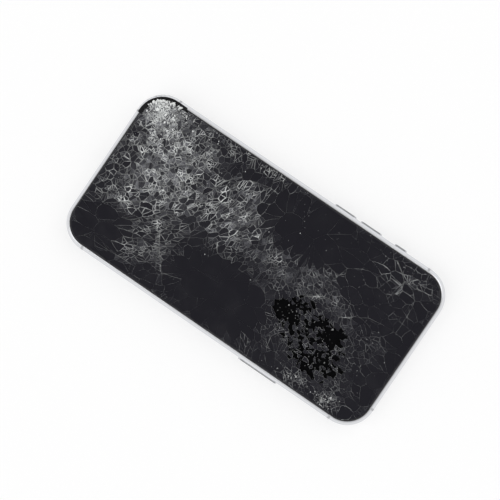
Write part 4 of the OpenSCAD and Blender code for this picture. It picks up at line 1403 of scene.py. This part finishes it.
# Grains finer than a tenth of a millimetre are drawn at about that, the finest that still shows.
FINISHES: dict[Slot, Finish] = {
    # Stainless steel, ground along the band and polished: nearly white, with soft streaks along it.
    Slot.FRAME_METAL: ScuffedSteel("stainless_steel_satin", "dcdde0", "8f9095",
        roughness=0.2, vary=0.03, metallic=1.0, grain_mm=0.12, depth_mm=0.0015, patch_mm=9.0, streak=0.08),
    # Anodised aluminium, bead blasted: a paler and duller silver than the steel round it.
    Slot.TRAY_METAL: Finish("aluminium_anodised_silver", "d4d5d8", "c8c9cc",
        roughness=0.3, vary=0.06, metallic=1.0, grain_mm=0.1, depth_mm=0.0015, patch_mm=5.0),
    # Glass-filled nylon, moulded into the band's slots: a matt grey stripe, a little darker than the steel.
    Slot.ANTENNA_PLASTIC: Finish("polyamide_moulded_grey", "c6c7c9", "b4b5b8",
        roughness=0.45, vary=0.08, metallic=0.0, grain_mm=0.15, depth_mm=0.003, patch_mm=2.0),
    # Glass painted black behind: a deep gloss that smudges and dust make uneven.
    Slot.BACK_GLASS: Glossy("glass_backed_black", "08080a", "4b4b4f",
        roughness=0.06, vary=0.14, metallic=0.0, grain_mm=0.3, depth_mm=0.002, patch_mm=14.0),
    # Toughened glass over a dark display: blue-black and glossy, white where it is broken through.
    Slot.COVER_GLASS: ShardGlass("glass_toughened_shattered", "14131b", "808186",
        roughness=0.07, vary=0.16, patch_mm=9.0, specular=0.4),
    # Sapphire, ground and coated: clear, so that the lenses show behind a hard gloss.
    Slot.WINDOW_GLASS: ClearWindow("sapphire_coated_clear", "d8d8e2", "d8d8e2",
        roughness=0.0, vary=0.05),
    # Moulded diffuser over yellow phosphor: cream, with a coarse lens pattern.
    Slot.FLASH_PLASTIC: Finish("polycarbonate_diffuser", "ece4c4", "dcd09c",
        roughness=0.3, vary=0.08, metallic=0.0, grain_mm=0.6, depth_mm=0.03, patch_mm=1.0),
    # Clear glue over the black display, torn where glass left it: black, with hardly any shine.
    Slot.CLEAR_ADHESIVE: Finish("acrylic_adhesive_over_black", "050506", "09090b",
        roughness=0.5, vary=0.15, metallic=0.0, grain_mm=0.5, depth_mm=0.02, patch_mm=3.0, streak=1.0,
        specular=0.03),
    # The display itself, off: the blackest surface.
    Slot.DISPLAY: Finish("display_panel_black", "030304", "07070a",
        roughness=0.5, vary=0.15, metallic=0.0, grain_mm=0.4, depth_mm=0.01, patch_mm=2.5, streak=1.0,
        specular=0.04),
    # Pressed steel sheet, rolled: grey, with fine lines one way.
    Slot.STEEL_SHEET: Finish("steel_sheet_pressed", "b0b1b5", "94959a",
        roughness=0.36, vary=0.08, metallic=1.0, grain_mm=0.12, depth_mm=0.002, patch_mm=4.0, streak=0.1),
    # Moulded polycarbonate, spark-eroded tool: black with a faint pebble.
    Slot.BLACK_PLASTIC: Finish("polycarbonate_moulded_black", "0c0c0e", "141416",
        roughness=0.28, vary=0.1, metallic=0.0, grain_mm=0.15, depth_mm=0.004, patch_mm=3.0, streak=1.0,
        specular=0.3),
    # Moulded silicone: matt black that gives no highlight.
    Slot.GASKET_RUBBER: Finish("silicone_rubber_black", "0c0c0d", "161617",
        roughness=0.7, vary=0.1, metallic=0.0, grain_mm=0.12, depth_mm=0.008, patch_mm=2.0),
    # Polyester film shrunk on the cell: charcoal, with wide shallow wrinkles.
    Slot.BATTERY_WRAP: Finish("polyester_wrap_black", "1b1b1e", "28282c",
        roughness=0.38, vary=0.12, metallic=0.0, grain_mm=2.5, depth_mm=0.06, patch_mm=12.0),
    # Foam tape: dull dark grey.
    Slot.ADHESIVE_TAPE: Finish("acrylic_foam_tape", "1a1a1a", "2b2b2a",
        roughness=0.75, vary=0.1, metallic=0.0, grain_mm=0.4, depth_mm=0.02, patch_mm=3.0),
    # Polyimide film over copper: amber, glossier over the traces.
    Slot.FLEX_CIRCUIT: Finish("polyimide_film_amber", "7a4416", "9a5a22",
        roughness=0.34, vary=0.1, metallic=0.0, grain_mm=0.4, depth_mm=0.01, patch_mm=1.2),
    # Epoxy board under green solder mask: uneven green with a slight swell over its tracks.
    Slot.CIRCUIT_BOARD: Finish("glass_epoxy_solder_mask", "0c3a24", "14502f",
        roughness=0.42, vary=0.12, metallic=0.0, grain_mm=0.5, depth_mm=0.02, patch_mm=1.5),
    # Transfer-moulded epoxy: near black, matt.
    Slot.CHIP_PLASTIC: Finish("epoxy_moulding_black", "111113", "1c1c1f",
        roughness=0.58, vary=0.1, metallic=0.0, grain_mm=0.1, depth_mm=0.004, patch_mm=1.0),
    # Turned stainless steel: bright, small uneven marks of the tool.
    Slot.SCREW_STEEL: Finish("stainless_steel_turned", "c9cacd", "a9aaae",
        roughness=0.26, vary=0.08, metallic=1.0, grain_mm=0.08, depth_mm=0.002, patch_mm=0.8),
    # Sintered tungsten: heavy dark grey with a sandy grain.
    Slot.WEIGHT_METAL: Finish("tungsten_sintered", "5c5d61", "707176",
        roughness=0.42, vary=0.1, metallic=1.0, grain_mm=0.1, depth_mm=0.006, patch_mm=1.2),
    # Laminated card: warm white, faintly uneven.
    Slot.CARD_PLASTIC: Finish("pvc_card_white", "e4e2da", "d3d0c4",
        roughness=0.4, vary=0.08, metallic=0.0, grain_mm=0.2, depth_mm=0.004, patch_mm=3.0),
    # Woven steel gauze: dark, with a weave drawn at a quarter of a millimetre, coarser than the real one.
    Slot.MESH_STEEL: Finish("woven_steel_mesh_dark", "3a3b3e", "151517",
        roughness=0.42, vary=0.1, metallic=1.0, grain_mm=0.25, depth_mm=0.05, patch_mm=0.35),
    # Enamelled copper wire: orange-brown, ridged from turn to turn.
    Slot.COIL_COPPER: Finish("copper_wire_enamelled", "b4683a", "8d4a24",
        roughness=0.3, vary=0.1, metallic=1.0, grain_mm=0.3, depth_mm=0.03, patch_mm=0.8),
    # Ferrite sheet between films: slate grey and dull.
    Slot.FERRITE: Finish("ferrite_sheet_dark", "2b2b2e", "3a3a3d",
        roughness=0.55, vary=0.1, metallic=0.0, grain_mm=0.3, depth_mm=0.01, patch_mm=2.0),
}
# Moulded barrel round coated glass: a violet and green reflection of the coating painted into the glass's
# colour, in a ring of black ridges.
LENS = CoatedLens("lens_coated", "0b0b0d", "0b0b0d", roughness=0.32, depth_mm=0.12)
# The glass element's radius, as a share of the barrel's.
LENS_GLASS = 0.62


# ---------------------------------------------------------------- the phone


@dataclass
class Phone:
    """The phone's CAD nodes, dressed.

    Attributes:
        nodes: its nodes by name.
        slots: each node's material slot.
        finishes: the materials made so far.
    """

    nodes: dict[str, bpy.types.Object]
    slots: dict[str, Slot]
    finishes: dict[Slot, bpy.types.Material] = field(default_factory=dict)

    def finish(self, slot: Slot) -> bpy.types.Material:
        """The material of a slot, made the first time it is asked for.

        Args:
            slot: the slot.

        Returns:
            Its material.
        """
        if slot not in self.finishes:
            self.finishes[slot] = FINISHES[slot].material()
        return self.finishes[slot]

    def lens(self, name: str) -> bpy.types.Material:
        """The finish of a lens, centred on its barrel.

        Args:
            name: the lens's node.

        Returns:
            Its own material.
        """
        low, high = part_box(name)
        middle, radius = (low + high) / 2 / MM, (high[0] - low[0]) / 2 / MM
        return replace(LENS, name=f"{name}_glass_coated", centre=(middle[0], middle[1]),
                       glass_mm=radius * LENS_GLASS).material()

    def dress(self) -> None:
        """Give every CAD node its finish."""
        for name, node in self.nodes.items():
            node.data.materials.clear()
            finish = self.lens(name) if name in LENS_NODES else self.finish(self.slots[name])
            node.data.materials.append(finish)
            log.info("%s: %s", name, finish.name)


# ---------------------------------------------------------------- the studio


@dataclass(frozen=True)
class Softbox:
    """A large soft lamp, far away.

    Attributes:
        name: the lamp's name.
        towards: the direction it stands in.
        strength: its light.
    """

    name: str
    towards: Triple
    strength: float


@dataclass(frozen=True)
class Studio:
    """The table, the light and the camera.

    Attributes:
        lens, sensor: the camera's focal length and sensor width, mm.
        position: where it stands, mm.
        forward, up: the directions of its view and of its upper side.
        near, far: the nearest and farthest that it sees, metres.
        sky: the sine of a height above the horizon, and the sky's brightness there.
        softboxes: the lamps.
        softbox_angle: how wide each looks, degrees.
        table_size: the table's side, metres.
        table_colour: its colour.
        table_lift: how much lighter it is seen than it is lit, so that it is white with a soft shadow.
    """

    lens: float = 105.0
    sensor: float = 36.0
    position: Triple = (-7.79, 31.88, 577.2)
    forward: Triple = (0.01025, -0.06153, -0.99805)
    up: Triple = (-0.82707, -0.56149, 0.02612)
    near: float = 0.01
    far: float = 20.0
    sky: tuple[tuple[float, float], ...] = ((0.0, 1.0), (0.35, 0.65), (0.75, 0.4), (1.0, 0.3))
    softboxes: tuple[Softbox, ...] = (Softbox("softbox_right", (0.62, -0.4, 0.72), 1.0),
                                      Softbox("softbox_left", (-0.62, 0.4, 0.72), 0.85))
    softbox_angle: float = 68.0
    table_size: float = 6.0
    table_colour: str = "b6b6b6"
    table_lift: float = 0.58

    def camera(self) -> None:
        """Place the camera."""
        data = bpy.data.cameras.new("camera")
        data.lens, data.sensor_width = self.lens, self.sensor
        data.clip_start, data.clip_end = self.near, self.far
        camera = bpy.data.objects.new("camera", data)
        bpy.context.scene.collection.objects.link(camera)
        ahead = Vector(self.forward).normalized()
        right = ahead.cross(Vector(self.up)).normalized()
        turn = Matrix((right, right.cross(ahead), -ahead)).transposed().to_4x4()
        camera.matrix_world = Matrix.Translation(Vector(self.position) * MM) @ turn
        bpy.context.scene.camera = camera

    def floor(self) -> None:
        """A white table top, with the phone's shadow on it."""
        bpy.ops.object.select_all(action="DESELECT")
        bpy.ops.mesh.primitive_plane_add(size=self.table_size)
        floor = bpy.context.object
        floor.name = "table_top"
        paper = bpy.data.materials.new("paper_sheet_white")
        nodes = Nodes(paper)
        seen = nodes.add("LightPath", output="Is Camera Ray")
        for ray in ("Is Glossy Ray", "Is Transmission Ray"):
            seen = nodes.add("Math", {0: seen, 1: nodes.add("LightPath", output=ray)}, operation="MAXIMUM")
        lift = nodes.add("Math", {0: seen, 1: self.table_lift}, operation="MULTIPLY")
        nodes.fill(nodes.shader, {"Base Color": self.table_colour, "Roughness": 0.9,
                                  "Specular IOR Level": 0.1, "Emission Color": "ffffff",
                                  "Emission Strength": lift})
        floor.data.materials.append(paper)
        floor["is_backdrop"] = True

    def light(self) -> None:
        """Soft light from all sides, darker straight above, and two softboxes."""
        world = bpy.data.worlds.new("studio")
        bpy.context.scene.world = world
        nodes = Nodes(world)
        parts = nodes.add("SeparateXYZ", {0: nodes.add("TexCoord", output="Generated")}, output="Z")
        level = nodes.add("ValToRGB", {"Fac": parts})
        stops = level.node.color_ramp.elements
        stops.remove(stops[1])
        for index, (height, value) in enumerate(self.sky):
            stop = stops[0] if index == 0 else stops.new(height)
            stop.color = (value, value, value, 1)
        seen = nodes.add("LightPath", output="Is Camera Ray")
        strength = nodes.add("Mix", {0: seen, 2: level, 3: 1.0})
        nodes.fill(nodes.shader, {"Color": "ffffff", "Strength": strength})
        for box in self.softboxes:
            sun = bpy.data.lights.new(box.name, "SUN")
            sun.energy, sun.angle = box.strength, math.radians(self.softbox_angle)
            lamp = bpy.data.objects.new(box.name, sun)
            lamp.matrix_world = Vector(box.towards).to_track_quat("Z", "Y").to_matrix().to_4x4()
            bpy.context.scene.collection.objects.link(lamp)


def corners(box: tuple[Vector, Vector]) -> list[list[float]]:
    """A box as plain lists."""
    return [list(corner) for corner in box]


def main() -> None:
    """Build the scene around the frame."""
    logging.basicConfig(level=logging.INFO, format="%(name)s: %(message)s")
    cad_box = corners(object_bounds())
    studio = Studio()
    studio.camera()
    slots = {part["node"]: Slot(part["material_slot"]) for part in frame["record"]["subparts"]}
    phone = Phone(frame["nodes"], slots)
    phone.dress()
    screen = Screen.from_frame()
    shatter = Shatter(screen)
    shatter.build()
    glass = CoverGlass(screen, shatter)
    glass.dress(glass.build(), phone.finish(Slot.COVER_GLASS))
    studio.floor()
    studio.light()
    bpy.context.scene.view_settings.view_transform = "Standard"
    {"cad": cad_box, "visual": corners(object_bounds())}


if __name__ == "__main__":
    main()
